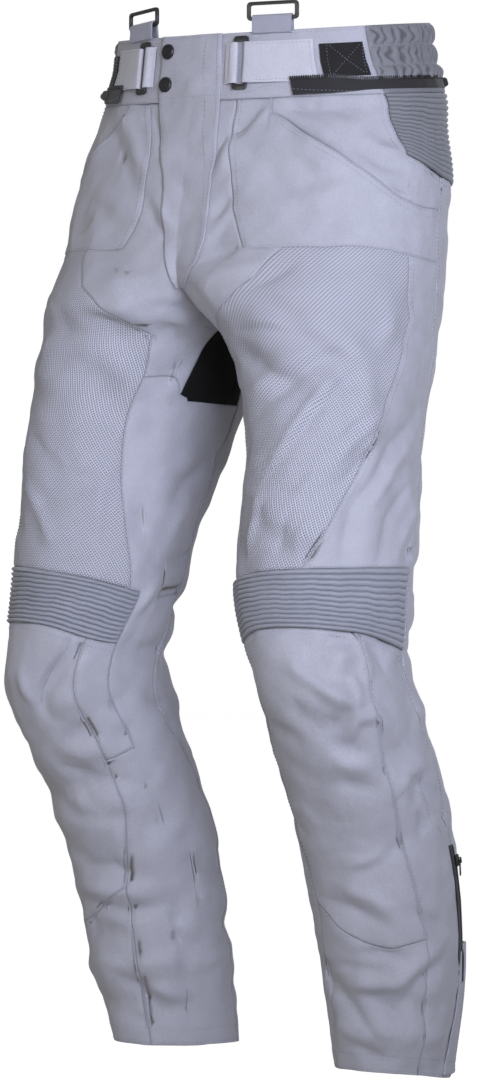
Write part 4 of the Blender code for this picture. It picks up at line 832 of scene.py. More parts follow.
class Shader:
    """A material's node tree, with short calls for the nodes that it needs."""

    def __init__(self, name, roughness, **fixed):
        self.material = bpy.data.materials.new(name)
        self.material.use_nodes = True
        self.tree = self.material.node_tree
        self.main = self.tree.nodes["Principled BSDF"]
        self.main.inputs["Roughness"].default_value = roughness
        for key, value in fixed.items():
            self.main.inputs[key.replace("_", " ")].default_value = value

    def node(self, kind, inputs=(), **settings):
        made = self.tree.nodes.new(kind)
        for key, value in settings.items():
            setattr(made, key, value)
        for key, value in dict(inputs).items():
            if isinstance(value, bpy.types.NodeSocket):
                self.tree.links.new(value, made.inputs[key])
            else:
                made.inputs[key].default_value = value
        return made

    def maths(self, operation, first, second=0.0, third=0.0):
        return self.node("ShaderNodeMath", {0: first, 1: second, 2: third}, operation=operation).outputs[0]

    def noise(self, scale, detail=3.0, distortion=0.0):
        inputs = {"Scale": scale, "Detail": detail, "Distortion": distortion, "Vector": self.object_place()}
        return self.node("ShaderNodeTexNoise", inputs).outputs["Fac"]

    def object_place(self):
        return self.node("ShaderNodeTexCoord").outputs["Object"]

    def uv(self):
        """The cloth's own metres round and down, as two numbers."""
        split = self.node("ShaderNodeSeparateXYZ", {0: self.node("ShaderNodeTexCoord").outputs["UV"]})
        return split.outputs["X"], split.outputs["Y"]

    def ramp(self, factor, low, high, start, end):
        """Mixes from one colour to another as a factor goes from start to end."""
        made = self.node("ShaderNodeValToRGB", {"Fac": factor})
        made.color_ramp.elements[0].position = start
        made.color_ramp.elements[0].color = (*low, 1)
        made.color_ramp.elements[1].position = end
        made.color_ramp.elements[1].color = (*high, 1)
        return made.outputs["Color"]

    def tones(self, factor, colour, dark, light, start=0.3, end=0.7):
        """Shades of one colour, from dark to light."""
        return self.ramp(factor, shaded(colour, dark), shaded(colour, light), start, end)

    def groove_shade(self):
        """The share of painted shade in troughs and seams."""
        return self.node("ShaderNodeAttribute", attribute_name="groove_shade").outputs["Fac"]

    def mix(self, factor, first, second, blend="MIX"):
        made = self.node("ShaderNodeMix", data_type="RGBA", blend_type=blend)
        for key, value in ((0, factor), (6, first), (7, second)):
            if isinstance(value, bpy.types.NodeSocket):
                self.tree.links.new(value, made.inputs[key])
            else:
                made.inputs[key].default_value = value if key == 0 else (*value, 1)
        return made.outputs[2]

    def bump(self, height, distance, strength=1.0, under=None):
        inputs = {"Height": height, "Distance": distance, "Strength": strength}
        if under:
            inputs["Normal"] = under
        return self.node("ShaderNodeBump", inputs).outputs["Normal"]

    def link(self, name, value):
        self.tree.links.new(value, self.main.inputs[name])


def shaded(colour, factor):
    return tuple(value * factor for value in colour)


def wave(shader, along, pitch, phase=0.0):
    """A wave from 0 to 1 along a coordinate in metres."""
    turn = shader.maths("MULTIPLY_ADD", along, 2 * math.pi / pitch, phase)
    return shader.maths("MULTIPLY_ADD", shader.maths("SINE", turn), 0.5, 0.5)


def cloth_material(name, colour, roughness=0.62, weave=0.0011, weave_depth=0.00012, sheen=0.25):
    """Woven cloth: a fine weave, small crinkles, a faint mottle, and painted shade in the troughs and seams.
    """
    shader = Shader(name, roughness, Sheen_Weight=sheen, Sheen_Roughness=0.45, Specular_IOR_Level=0.35)
    u, v = shader.uv()
    warp = wave(shader, u, weave)
    weft = wave(shader, v, weave)
    checks = shader.maths("MULTIPLY", warp, weft)
    mottle = shader.noise(38.0, 4.0)
    fine = shader.noise(620.0, 2.0)
    tone = shader.tones(mottle, colour, 0.90, 1.08)
    tone = shader.mix(0.35, tone, shader.tones(checks, colour, 0.82, 1.10, 0.1))
    tone = shader.mix(0.18, tone, shader.tones(fine, colour, 0.72, 1.25, 0.35, 0.65))
    # Painted shade: troughs, seams, ribs, gathers and the pocket's mouth darken toward a quarter of the
    # colour
    shader.link("Base Color", shader.mix(shader.groove_shade(), tone, shaded(colour, 0.25)))
    shader.link("Roughness", shader.maths("MULTIPLY_ADD", mottle, 0.16, roughness - 0.08))
    normal = shader.bump(shader.noise(90.0, 5.0, distortion=0.6), 0.0011, 0.55)
    shader.link("Normal", shader.bump(checks, weave_depth, 0.8, normal))
    return shader.material


def mesh_material(colour, hole):
    """Warp-knit net: light threads round small slanting holes, over a darker backing."""
    shader = Shader("mesh", 0.66, Sheen_Weight=0.2, Sheen_Roughness=0.5, Specular_IOR_Level=0.35)
    u, v = shader.uv()
    pitch, drop = 0.0027, 0.0024
    slant = shader.maths("MULTIPLY_ADD", v, 0.55, u)
    other = shader.maths("MULTIPLY_ADD", v, -1.6, u)
    first = wave(shader, slant, pitch)
    second = wave(shader, other, drop * 2, 0.8)
    third = wave(shader, v, drop)
    net = shader.maths("MULTIPLY", first, shader.maths("MULTIPLY_ADD", third, 0.6, 0.4))
    net = shader.maths("MULTIPLY_ADD", second, 0.35, shader.maths("MULTIPLY", net, 0.65))
    mottle = shader.noise(30.0, 3.0)
    threads = shader.ramp(net, hole, colour, 0.10, 0.52)
    tone = shader.mix(0.4, threads, shader.tones(mottle, colour, 0.86, 1.06), "MULTIPLY")
    tone = shader.mix(0.55, tone, threads)
    # Painted shade: troughs and seams darken toward half the colour
    shader.link("Base Color", shader.mix(shader.groove_shade(), tone, shaded(colour, 0.5)))
    crinkle = shader.noise(70.0, 3.0)
    shader.link("Normal", shader.bump(net, 0.0005, 0.9, shader.bump(crinkle, 0.0008, 0.4)))
    return shader.material


def plain_material(name, colour, roughness, grain=400.0, depth=0.00008, metallic=0.0, coat=0.0):
    """Moulded plastic, metal or tape: speckled tone and roughness with a fine grain."""
    shader = Shader(name, roughness, Metallic=metallic, Coat_Weight=coat, Specular_IOR_Level=0.5)
    fine = shader.noise(grain, 3.0)
    broad = shader.noise(60.0, 3.0)
    tone = shader.tones(broad, colour, 0.75, 1.3)
    worn = shader.tones(fine, colour, 0.8, 1.5, 0.45, 0.75)
    shader.link("Base Color", shader.mix(0.4, tone, worn))
    shader.link("Roughness", shader.maths("MULTIPLY_ADD", fine, 0.25, roughness - 0.12))
    shader.link("Normal", shader.bump(fine, depth, 0.7))
    return shader.material


def hook_material(colour):
    """Hook tape: rows of tiny hooks."""
    shader = Shader("hook_tape", 0.92, Sheen_Weight=0.1, Sheen_Roughness=0.6)
    place = shader.object_place()
    cells = shader.node("ShaderNodeTexVoronoi", {"Vector": place, "Scale": 700.0}).outputs["Distance"]
    broad = shader.noise(80.0, 3.0)
    tone = shader.tones(cells, colour, 2.2, 0.6, 0.1)
    shader.link("Base Color", shader.mix(0.3, tone, shader.tones(broad, colour, 0.6, 1.6)))
    shader.link("Normal", shader.bump(cells, 0.0005, 0.9))
    return shader.material


def webbing_material(colour, name="webbing"):
    """Webbing and narrow tape: slanting ribs of a woven band."""
    shader = Shader(name, 0.7, Sheen_Weight=0.2, Sheen_Roughness=0.5)
    split = shader.node("ShaderNodeSeparateXYZ", {0: shader.object_place()})
    level = wave(shader, split.outputs["Z"], 0.0016)
    across = wave(shader, shader.maths("ADD", split.outputs["X"], split.outputs["Z"]), 0.0022)
    weave = shader.maths("MULTIPLY", level, across)
    broad = shader.noise(60.0, 3.0)
    tone = shader.tones(weave, colour, 0.78, 1.08, 0.1)
    shader.link("Base Color", shader.mix(0.3, tone, shader.tones(broad, colour, 0.85, 1.1)))
    shader.link("Normal", shader.bump(weave, 0.0003, 0.8))
    return shader.material


CLOTH_COLOUR = (0.385, 0.385, 0.450)
MATERIALS = {
    "cloth": cloth_material("cloth", CLOTH_COLOUR),
    "mesh": mesh_material((0.52, 0.52, 0.60), (0.15, 0.155, 0.19)),
    "elastic_cloth": cloth_material("elastic_cloth", (0.235, 0.235, 0.270), 0.7),
    "rib_cloth": cloth_material("rib_cloth", (0.30, 0.31, 0.37), 0.7, 0.0014, 0.00018),
    "hip_rib_cloth": cloth_material("hip_rib_cloth", (0.205, 0.212, 0.240), 0.7, 0.0014, 0.00018),
    "strap_cloth": cloth_material("strap_cloth", (0.49, 0.49, 0.56), 0.6, 0.0010, 0.00008),
    "gusset_cloth": cloth_material("gusset_cloth", (0.0022, 0.0022, 0.0026), 0.95, 0.0012, 0.0001, 0.0),
    "hook_tape": hook_material((0.0045, 0.004, 0.006)),
    "zip_tape": webbing_material((0.008, 0.007, 0.011), "zip_tape"),
    "webbing": webbing_material((0.34, 0.34, 0.42)),
    "black_plastic": plain_material("black_plastic", (0.016, 0.016, 0.018), 0.38, 500.0, 0.00005, 0.0, 0.3),
    "snap_metal": plain_material("snap_metal", (0.030, 0.028, 0.033), 0.32, 700.0, 0.00003, 0.6, 0.3),
    "thread": plain_material("thread", (0.27, 0.27, 0.33), 0.75, 900.0, 0.0001),
    "light_thread": plain_material("light_thread", (0.30, 0.30, 0.36), 0.75, 900.0, 0.0001),
}
COLLECTION = bpy.data.collections.new("dressed")
bpy.context.scene.collection.children.link(COLLECTION)
OUTER = []


def mesh_of(name, points, faces):
    mesh = bpy.data.meshes.new(name)
    mesh.from_pydata(points, [], faces)
    return mesh


def add_piece(name, mesh, material, replaced=None, body="trousers"):
    mesh.materials.append(MATERIALS[material])
    piece = bpy.data.objects.new(name, mesh)
    COLLECTION.objects.link(piece)
    mesh.shade_smooth()
    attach(piece, body)
    if replaced:
        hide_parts(replaced)
    return piece


def thicken(piece, thickness):
    """Gives a piece its cloth's thickness, inward."""
    solid = piece.modifiers.new("thickness", "SOLIDIFY")
    solid.thickness = thickness
    solid.offset = -1.0


def panel(name, material, patches, lines, lift=0.0, relief=None, thickness=CLOTH, dip=SEAM_DIP,
          creased=1.0):
    """Makes one piece of cloth over the grid, with its creases, relief and sunken seams, and painted shade in
    their troughs.
    """
    lattice = Lattice(patches, *lines)
    height = np.zeros(len(lattice.points)) + (lift(lattice) if callable(lift) else lift)
    raised = relief(lattice) if relief else 0.0
    creases = crease_height(lattice.side, lattice.angle, lattice.level) * creased
    seams = -dip * np.exp(-(lattice.edge_distance() / SEAM_REACH) ** 2)
    # Painted shade: crease troughs and sunken seams darken, and the reliefs add their own painted shade
    groove_shade = np.clip(-creases * TROUGH_DARK, 0, TROUGH_DARKEST) + np.clip(-seams / SEAM_DIP, 0, 1) * SEAM_DARK
    groove_shade += getattr(lattice, "dark", 0.0)
    height += raised + creases + seams + waves(lattice.points) * creased
    if creased:
        height += crumple(lattice.points) * creased
    points = lattice.points + lattice.normals * height[:, None]
    mesh = mesh_of(name, points.tolist(), lattice.faces.tolist())
    layer = mesh.uv_layers.new(name="cut")
    layer.data.foreach_set("uv", lattice.uv().astype(np.float32).ravel())
    attribute = mesh.attributes.new("groove_shade", "FLOAT", "POINT")
    attribute.data.foreach_set("value", np.clip(groove_shade, 0, DARKEST).astype(np.float32))
    OUTER.append((points, lattice.faces))
    piece = add_piece(f"{name}_cloth", mesh, material, name)
    thicken(piece, thickness)
    return piece


def patch_of(side, columns, rows):
    """A patch of the grid between two columns and two rows, given by name or number."""
    return (side, tuple(COLUMN.get(c, c) for c in columns), tuple(ROW.get(r, r) for r in rows))


def ribs(lattice, top, bottom, count, sways):
    """The crests of ribs between two rows, which sway a little: sways has two heights and rates."""
    share = (lattice.row - ROW[top]) / (ROW[bottom] - ROW[top])
    (broad, slow), (fine, fast) = sways
    sway = broad * np.sin(lattice.angle * slow + lattice.side) + fine * np.sin(lattice.angle * fast)
    turn = share * count + sway * np.sin(math.pi * share)
    return np.abs(np.sin(math.pi * turn))


def inside_ends(lattice, first, last, rate):
    """Falls from 1 to 0 toward both end columns."""
    return np.clip(np.minimum(lattice.column - first, last - lattice.column) * rate, 0, 1)


def knee_relief(lattice):
    """Round ribs across the knee, with painted shade in the dark lines between them."""
    crest = ribs(lattice, "knee_top", "knee_bottom", KNEE_RIBS, ((0.10, 0.21), (0.06, 0.53)))
    ends = inside_ends(lattice, COLUMN["pocket_front"], COLUMN["outseam"], 4)
    # Painted shade in the troughs between the ribs
    lattice.dark = np.clip(1 - crest * 1.9, 0, 1) * DARKEST * ends
    return RIB_DEPTH * (crest ** 0.6) * (0.3 + 0.7 * ends)


def yoke_relief(lattice):
    """Finer ribs round the hips."""
    crest = ribs(lattice, "waist_seam", "yoke", YOKE_RIBS, ((0.16, 0.33), (0.08, 0.9)))
    # Painted shade in the troughs between the ribs
    lattice.dark = np.clip(1 - crest * 1.6, 0, 1) * DARKEST
    return RIB_DEPTH * YOKE_SHARE * crest ** 0.6


def elastic_relief(lattice):
    """Cloth gathered in three rows, with stitched channels between them."""
    total = np.zeros(len(lattice.points))
    dark = np.zeros(len(lattice.points))
    for k, (top, bottom) in enumerate(zip(ELASTIC_CHANNELS, ELASTIC_CHANNELS[1:])):
        share = np.clip((top - lattice.level) / (top - bottom), 0, 1)
        sway = (0.9 * np.sin(lattice.level * 260 + k) + 0.9 * np.sin(lattice.angle * 0.31 + k * 2.0)
                + 0.5 * np.sin(lattice.angle * 0.83 + k)
                + 0.5 * np.sin(lattice.level * 520 + lattice.angle * 0.4))
        gather = np.abs(np.sin(math.pi * (lattice.angle + sway + k * 1.7) / GATHER_PITCH))
        uneven = 0.75 + 0.25 * np.sin(lattice.angle * 0.57 + k * 1.3)
        puff = np.sin(math.pi * share) ** 0.6
        total += puff * (0.20 + 0.80 * uneven * gather ** 0.75)
        inside = (share > 0) & (share < 1)
        # Painted shade in the folds between the gathers and along the stitched channels
        dark += np.where(inside, (np.clip(1 - gather * 1.6, 0, 1) * 0.9 + 0.05) * puff, 0.12)
    ends = inside_ends(lattice, COLUMN["mesh_outer"], ELASTIC_END, 3)
    lattice.dark = dark * ends
    return GATHER_DEPTH * total * ends


def gape(lattice):
    """How far the pocket's mouth stands open, as a share."""
    return np.exp(-((lattice.column - GAPE_COLUMN) / GAPE_REACH) ** 2)


def pocket_relief(lattice):
    """The pocket's mouth stands off the cloth behind it."""
    below = np.clip((lattice.row - ROW["pocket_mouth"]) / 1.1, 0, 1)
    return GAPE_OUT * gape(lattice) * (1 - below) ** 2 * (lattice.column >= COLUMN["mesh_inner"] - 1e-6)


def hip_relief(lattice):
    """The cloth behind the pocket's mouth lies back."""
    above = np.clip((ROW["pocket_mouth"] - lattice.row) / 1.2, 0, 1)
    # Painted shade in the gap behind the pocket's mouth
    lattice.dark = DARKEST * gape(lattice) * (1 - above) ** 5
    return -GAPE_BACK * gape(lattice) * (1 - above) ** 2


def make_panels():
    materials = {"yoke": "hip_rib_cloth", "knee_ribs": "rib_cloth", "thigh_mesh": "mesh"}
    reliefs = {"yoke": yoke_relief, "knee_ribs": knee_relief, "pocket_panel": pocket_relief,
               "hip_front": hip_relief}
    ribbed = {"yoke": YOKE_LINES, "knee_ribs": KNEE_LINES}
    for name, patches in PANELS.items():
        for side, label in SIDES:
            piece = panel(f"{name}_{label}", materials.get(name, "cloth"),
                          [patch_of(side, p[:2], p[2:]) for p in patches], ribbed.get(name, CLOTH_LINES),
                          relief=reliefs.get(name),
                          creased=STEADY_CREASES if name in ribbed else 1.0)
    patches = []
    for side, _ in SIDES:
        patches.append(patch_of(side, ("centre_front", "fly_offset"), ("crotch", "gusset_bottom")))
        patches.append(patch_of(side, ("back_inseam", "centre_back"), ("gusset_top", "gusset_bottom")))
    panel("crotch_gusset", "gusset_cloth", patches, GUSSET_LINES)


def shield_lift(lattice):
    """The fly's layer lies over the front and the waistband, and its edges curl up a little."""
    on_band = np.clip((ROW["waist_seam"] + 0.15 - lattice.row) / 0.3, 0, 1)
    edge = np.clip(np.abs(lattice.column), 0, 1)
    return LAYER_GAP + LAYER + BAND_OUT * on_band + SHIELD_CURL * edge ** 4


def make_waistband():
    band = ("waist_top", "waist_seam")
    for side, label in SIDES:
        piece = panel(f"waistband_front_{label}", "cloth",
                      [patch_of(side, ("centre_front", "mesh_outer"), band)], BAND_LINES, BAND_OUT,
                      thickness=BAND, creased=BAND_CREASES)
        piece = panel(f"waist_elastic_{label}", "elastic_cloth",
                      [patch_of(side, ("mesh_outer", ELASTIC_END), band)], ELASTIC_LINES, BAND_OUT,
                      elastic_relief, BAND, creased=0.0)
    piece = panel("waistband_back", "cloth",
                  [patch_of(side, (ELASTIC_END, "centre_back"), band) for side, _ in SIDES], BAND_LINES,
                  BAND_OUT, thickness=BAND, creased=BAND_CREASES)
    shield = [patch_of(side, (0, 1), (0, FLY_END)) for side, _ in SIDES]
    panel("fly_shield", "cloth", shield, SHIELD_LINES, shield_lift, thickness=LAYER, dip=SHIELD_DIP)


def cloth_tree():
    """Everything that thread can lie on, for finding the outermost cloth."""
    points, faces, count = [], [], 0
    for piece_points, piece_faces in OUTER:
        points.append(piece_points)
        faces += (piece_faces + count).tolist()
        count += len(piece_points)
    return BVHTree.FromPolygons(np.concatenate(points).tolist(), faces)


def with_outward(side, column, row, step):
    """Points of the plain cloth at places on the grid, with the directions outward."""
    points = places(side, column, row)[0]
    ahead = places(side, np.minimum(column + step, LAST_COLUMN), row)[0]
    behind = places(side, np.maximum(column - step, 0), row)[0]
    below = places(side, column, np.minimum(row + step, LAST_ROW))[0]
    above = places(side, column, np.maximum(row - step, 0))[0]
    outward = np.cross(below - above, ahead - behind) * side
    return points, outward / np.maximum(np.linalg.norm(outward, axis=1, keepdims=True), 1e-12)


def on_cloth(tree, side, column, row, start=0.012):
    """The outermost cloth at places on the grid, with the direction outward."""
    found = []
    for point, normal in zip(*with_outward(side, column, row, 0.05)):
        hit = tree.ray_cast(Vector(point + normal * start), Vector(-normal), start * 2)
        if hit[0] is None:
            hit = tree.find_nearest(Vector(point + normal * 0.002))
        found.append((hit[0], hit[1] if hit[1].dot(Vector(normal)) > 0 else -hit[1]))
    return found


def grid_at(side, angle, level):
    """The column and row of places given by angle and level."""
    angle, level = np.array(angle, float), np.array(level, float)
    column = bisect(lambda c: cell_angle(c, level) < angle, angle * 0, angle * 0 + LAST_COLUMN)
    row = bisect(lambda r: cell_level(side, column, r) > level, angle * 0, angle * 0 + LAST_ROW)
    return column, row


def shifted_line(side, columns, rows, offset, along_column):
    """A seam's line moved sideways on the cloth, in metres."""
    moved, last = (columns, LAST_COLUMN) if along_column else (rows, LAST_ROW)
    turn = np.where(moved > last - 0.2, -0.2, 0.2)
    beside = (columns + turn, rows) if along_column else (columns, rows + turn)
    size = np.linalg.norm(places(side, *beside)[0] - places(side, columns, rows)[0], axis=1)
    moved = np.clip(moved + np.abs(turn) * offset / np.maximum(size, 1e-5), 0, last)
    return (moved, rows) if along_column else (columns, moved)


def along_line(found):
    """The length of a line of places on the cloth, and readers of its place and outward direction."""
    line = np.array([place for place, _ in found])
    outward = np.array([normal for _, normal in found])
    along = np.concatenate([[0], np.cumsum(np.linalg.norm(np.diff(line, axis=0), axis=1))])

    def reader(values):
        return lambda at: Vector([np.interp(at, along, values[:, k]) for k in range(3)])

    return along[-1], reader(line), reader(outward)


class Thread:
    """Stitches gathered into one mesh: each is a small wedge that lies on the cloth."""

    def __init__(self):
        self.points = []
        self.faces = []

    def stitch(self, start, end, outward):
        along = end - start
        if along.length < 1e-5:
            return
        along.normalize()
        beside = along.cross(outward).normalized() * STITCH_WIDTH / 2
        sink = outward * STITCH_SINK
        crown = outward * STITCH_HEIGHT
        first = len(self.points)
        middle = (start + end) / 2
        self.points += [start - sink, middle + beside - sink, middle - beside - sink, end - sink,
                        start * 0.7 + end * 0.3 + crown, start * 0.3 + end * 0.7 + crown]
        for face in ((0, 1, 4), (4, 1, 5), (1, 3, 5), (0, 4, 2), (4, 5, 2), (5, 3, 2), (0, 2, 1), (1, 2, 3)):
            self.faces.append([first + k for k in face])

    def run(self, found, length=STITCH):
        """Stitches along a line of places on the cloth."""
        total, place_at, outward_at = along_line(found)
        for start in np.arange(0.0, total - length, length + STITCH_GAP):
            self.stitch(place_at(start), place_at(start + length), outward_at(start).normalized())

    def finish(self, name, material="thread"):
        mesh = mesh_of(name, [tuple(point) for point in self.points], self.faces)
        add_piece(name, mesh, material)


# Topstitching along seams, by key line; offsets are in millimetres, positive toward the back or downward
# columns: whether it runs down a column, the line, its start and end, offsets, and the sides
SEAMS = (
    (True, "fly_offset", "waist_top", FLY_END, (-1.8, -7.0), (1,)),
    (True, "fly_offset", "waist_top", FLY_END, (-1.8,), (-1,)),
    (True, "pocket_front", "waist_seam", "pocket_bottom", (1.8, 6.8), (1, -1)),
    (True, "mesh_inner", "pocket_bottom", "gusset_bottom", (-2.0,), (1, -1)),
    (True, "mesh_inner", "gusset_bottom", "knee_top", (-2.0,), (1, -1)),
    (True, "mesh_outer", "pocket_bottom", "knee_top", (2.0, 6.5), (1, -1)),
    (True, "mesh_outer", "waist_seam", "yoke", (-2.0, -7.0), (1, -1)),
    (True, "outseam", "yoke", "hem", (2.0,), (1, -1)),
    (True, "back_inseam", "gusset_bottom", "hem", (-2.0,), (1, -1)),
    (True, "mesh_inner", "knee_bottom", "shin_bottom", (2.0, -2.0), (1, -1)),
    (True, "mesh_outer", "knee_bottom", "shin_bottom", (-2.0, 2.0), (1, -1)),
    (True, "pocket_front", "knee_bottom", "strip_bottom", (2.0,), (1, -1)),
    (True, "centre_back", "waist_seam", "gusset_top", (-2.0,), (1, -1)),
    (False, "waist_top", 0, LAST_COLUMN, (3.0,), (1, -1)),
    (False, "waist_seam", 0, LAST_COLUMN, (-2.0,), (1, -1)),
    (False, "pocket_mouth", "mesh_inner", "outseam", (2.5, 8.5), (1, -1)),
    (False, "pocket_bottom", "pocket_front", "outseam", (-2.0,), (1, -1)),
    (False, "yoke", "outseam", "centre_back", (2.0, 7.0), (1, -1)),
    (False, "yoke", "mesh_outer", "outseam", (2.0, 7.0), (1, -1)),
    (False, "knee_top", "pocket_front", "outseam", (-2.0,), (1, -1)),
    (False, "knee_bottom", "pocket_front", "outseam", (2.0, 8.0), (1, -1)),
    (False, "shin_bottom", "mesh_inner", "mesh_outer", (-2.0, 2.0), (1, -1)),
    (False, "strip_bottom", "pocket_front", "mesh_inner", (-2.0,), (1, -1)),
    (False, "hem", 0, LAST_COLUMN, (-18.0, -3.0), (1, -1)),
)

# Single seams and darts that cross a panel
# columns: side, then angle and level of each point
CROSS_SEAMS = (
    (1, 144, -0.738, 160, -0.722, 174, -0.702),
    (1, 174, -0.702, 172, -0.742, 170, -0.762, 184, -0.778),
    (-1, 144, -0.738, 160, -0.722, 174, -0.702),
    (-1, 174, -0.702, 172, -0.742, 170, -0.762, 184, -0.778),
    (-1, 50, -0.588, 58, -0.620, 70, -0.652),
    (1, 50, -0.588, 58, -0.620, 70, -0.652),
    (-1, 338, -0.674, 331, -0.700, 324, -0.730),
    (1, 338, -0.674, 331, -0.700, 324, -0.730),
)


def make_seams(tree):
    for side, label in SIDES:
        thread = Thread()
        for down, name, start, end, offsets, sides in SEAMS:
            if side not in sides:
                continue
            table, other = (COLUMN, ROW) if down else (ROW, COLUMN)
            start, end = other.get(start, start), other.get(end, end)
            span = np.linspace(start, end, SAMPLES_A_CELL * int(abs(end - start)) + 2)
            fixed = np.full(span.shape, float(table[name]))
            for offset in offsets:
                columns, rows = (fixed, span) if down else (span, fixed)
                columns, rows = shifted_line(side, columns, rows, offset / 1000, down)
                thread.run(on_cloth(tree, side, columns, rows))
        for seam_side, *ends in CROSS_SEAMS:
            if seam_side != side:
                continue
            share = np.linspace(0, 1, 24)
            known = np.linspace(0, 1, len(ends) // 2)
            angles, levels = [np.interp(share, known, values) for values in (ends[0::2], ends[1::2])]
            thread.run(on_cloth(tree, side, *grid_at(side, angles, levels)))
        thread.finish(f"stitching_{label}")


def copied(node, name, material, body="trousers", bevel=0.0003, soft=0.0):
    """A node's own form with rounded edges, and for cloth with a little unevenness."""
    mesh = bpy.data.meshes.new_from_object(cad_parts[node])
    mesh.materials.clear()
    shape = bmesh.new()
    shape.from_mesh(mesh)
    bmesh.ops.remove_doubles(shape, verts=shape.verts, dist=1e-6)
    bmesh.ops.recalc_face_normals(shape, faces=shape.faces)
    if soft:
        for _ in range(2):
            edges = [edge for edge in shape.edges if edge.calc_length() > LONGEST_EDGE]
            if edges:
                bmesh.ops.subdivide_edges(shape, edges=edges, cuts=1, use_grid_fill=True)
        bmesh.ops.triangulate(shape, faces=[face for face in shape.faces if len(face.verts) > 4])
    sharp = [edge for edge in shape.edges if len(edge.link_faces) == 2 and edge.calc_face_angle() > 0.7]
    if sharp:
        bmesh.ops.bevel(shape, geom=sharp, offset=bevel, segments=2, affect="EDGES", profile=0.6,
                        clamp_overlap=True)
    shape.normal_update()
    if soft:
        for vertex in shape.verts:
            push = noise.noise(vertex.co * 45) * soft + noise.noise(vertex.co * 160) * soft * 0.4
            vertex.co += noise.noise_vector(vertex.co * 45).normalized() * abs(push) * 0.5
    shape.to_mesh(mesh)
    shape.free()
    if soft:
        points = np.array([vertex.co for vertex in mesh.vertices])
        mesh.calc_loop_triangles()
        triangles = np.array([t.vertices for t in mesh.loop_triangles])
        OUTER.append((points, triangles))
    layer = mesh.uv_layers.new(name="cut")
    for loop in mesh.loops:
        point = mesh.vertices[loop.vertex_index].co
        layer.data[loop.index].uv = (math.hypot(point.x, point.y) + point.x, point.z)
    return add_piece(name, mesh, material, replaced=node, body=body)


def make_trims():
    """Straps, loops, tapes and webbing, on their solids' own forms."""
    for _, label in SIDES:
        for name, material, soft in TRIMS:
            piece = copied(f"{name}_{label}", f"{name}_{label}_cloth", material, soft=soft)
    piece = copied("connection_zip", "connection_zip_tape", "zip_tape", soft=0.0008)


def make_hard_parts():
    """Rings, sliders and pull tabs with rounded edges; the parts that move on their own each get their own
    body.
    """
    for _, label in SIDES:
        for name, ending, moves, bevel in HARD_PARTS:
            node = f"{name}_{label}"
            copied(node, f"{node}_{ending}", "black_plastic", node if moves else "trousers", bevel)


def hem_flap(side, label):
    """The flap over the leg zip's foot: its front edge slants, and its back edge stands off the leg."""
    level = FLAP_TOP - np.linspace(0, 1, FLAP_ROWS) * FLAP_LENGTH
    front = straight(FLAP_FRONT, level)
    grid = []
    for share in np.linspace(0, 1, FLAP_COLUMNS):
        columns, rows = grid_at(side, front + (FLAP_BACK - front) * share, level)
        points, outward = with_outward(side, columns, rows, 0.1)
        _, part, angles, levels = places(side, columns, rows)
        off = FLAP_OFF + FLAP_OFF * np.sin(math.pi * min(1.0, share * 1.3))
        off += crease_height(part, angles, levels) * 0.5
        grid.append(points + outward * off[:, None])
    faces = []
    for i in range(FLAP_COLUMNS - 1):
        for j in range(FLAP_ROWS - 1):
            first, beside = i * FLAP_ROWS + j, (i + 1) * FLAP_ROWS + j
            quad = [first, beside, beside + 1, first + 1]
            faces.append(quad[::-1] if side == 1 else quad)
    points = np.concatenate(grid)
    mesh = mesh_of(f"hem_flap_{label}", points.tolist(), faces)
    layer = mesh.uv_layers.new(name="cut")
    for loop in mesh.loops:
        i, j = divmod(loop.vertex_index, FLAP_ROWS)
        layer.data[loop.index].uv = (i * 0.0025, -j * 0.0027)
    OUTER.append((points, np.array(faces)))
    piece = add_piece(f"hem_flap_{label}_cloth", mesh, "cloth", replaced=f"hem_flap_{label}")
    thicken(piece, CLOTH)


def block(shape, place, along, outward, size, taper):
    """Adds a bar with a narrower top to a bmesh: size is along, across and outward."""
    beside = along.cross(outward).normalized()
    turn = Matrix((along, beside, outward)).transposed().to_4x4()
    turn.translation = place
    for vertex in bmesh.ops.create_cube(shape, size=1, matrix=turn @ Matrix.Diagonal((*size, 1)))["verts"]:
        local = vertex.co - place
        if local.dot(outward) > 0:
            vertex.co -= (local - outward * local.dot(outward)) * (1 - taper)


def from_shape(name, shape, material, replaced=None, smooth_angle=35):
    mesh = bpy.data.meshes.new(name)
    shape.to_mesh(mesh)
    shape.free()
    add_piece(name, mesh, material, replaced=replaced)
    mesh.set_sharp_from_angle(angle=math.radians(smooth_angle))


def zip_teeth(found, pitch, size):
    """Teeth along a line of places and directions outward."""
    shape = bmesh.new()
    total, place_at, outward_at = along_line(found)
    for at in np.arange(0, total, pitch):
        place, outward = place_at(at), outward_at(at)
        step = place_at(min(at + 0.001, total)) - place
        if step.length < 1e-6:
            continue
        step = (step - outward * step.dot(outward)).normalized()
        block(shape, place + outward * size[2] * 0.4, step, outward.normalized(), size, 0.7)
    return shape


def tape_rim():
    """The upper edge of the tape round the back, from one end to the other, with the directions upward."""
    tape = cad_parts["connection_zip"]
    points = [tape.matrix_world @ vertex.co for vertex in tape.data.vertices]
    points.sort(key=lambda point: math.atan2(point.x, -point.y) % (2 * math.pi))
    groups = [[points[0]]]
    for last, point in zip(points, points[1:]):
        if (point.xy - last.xy).length > 0.006:
            groups.append([])
        groups[-1].append(point)
    rim = []
    for group in groups:
        top = max(point.z for point in group)
        upper = [point for point in group if point.z > top - 0.003]
        rim.append((sum(upper, Vector()) / len(upper), Vector((0, 0, 1))))
    return rim


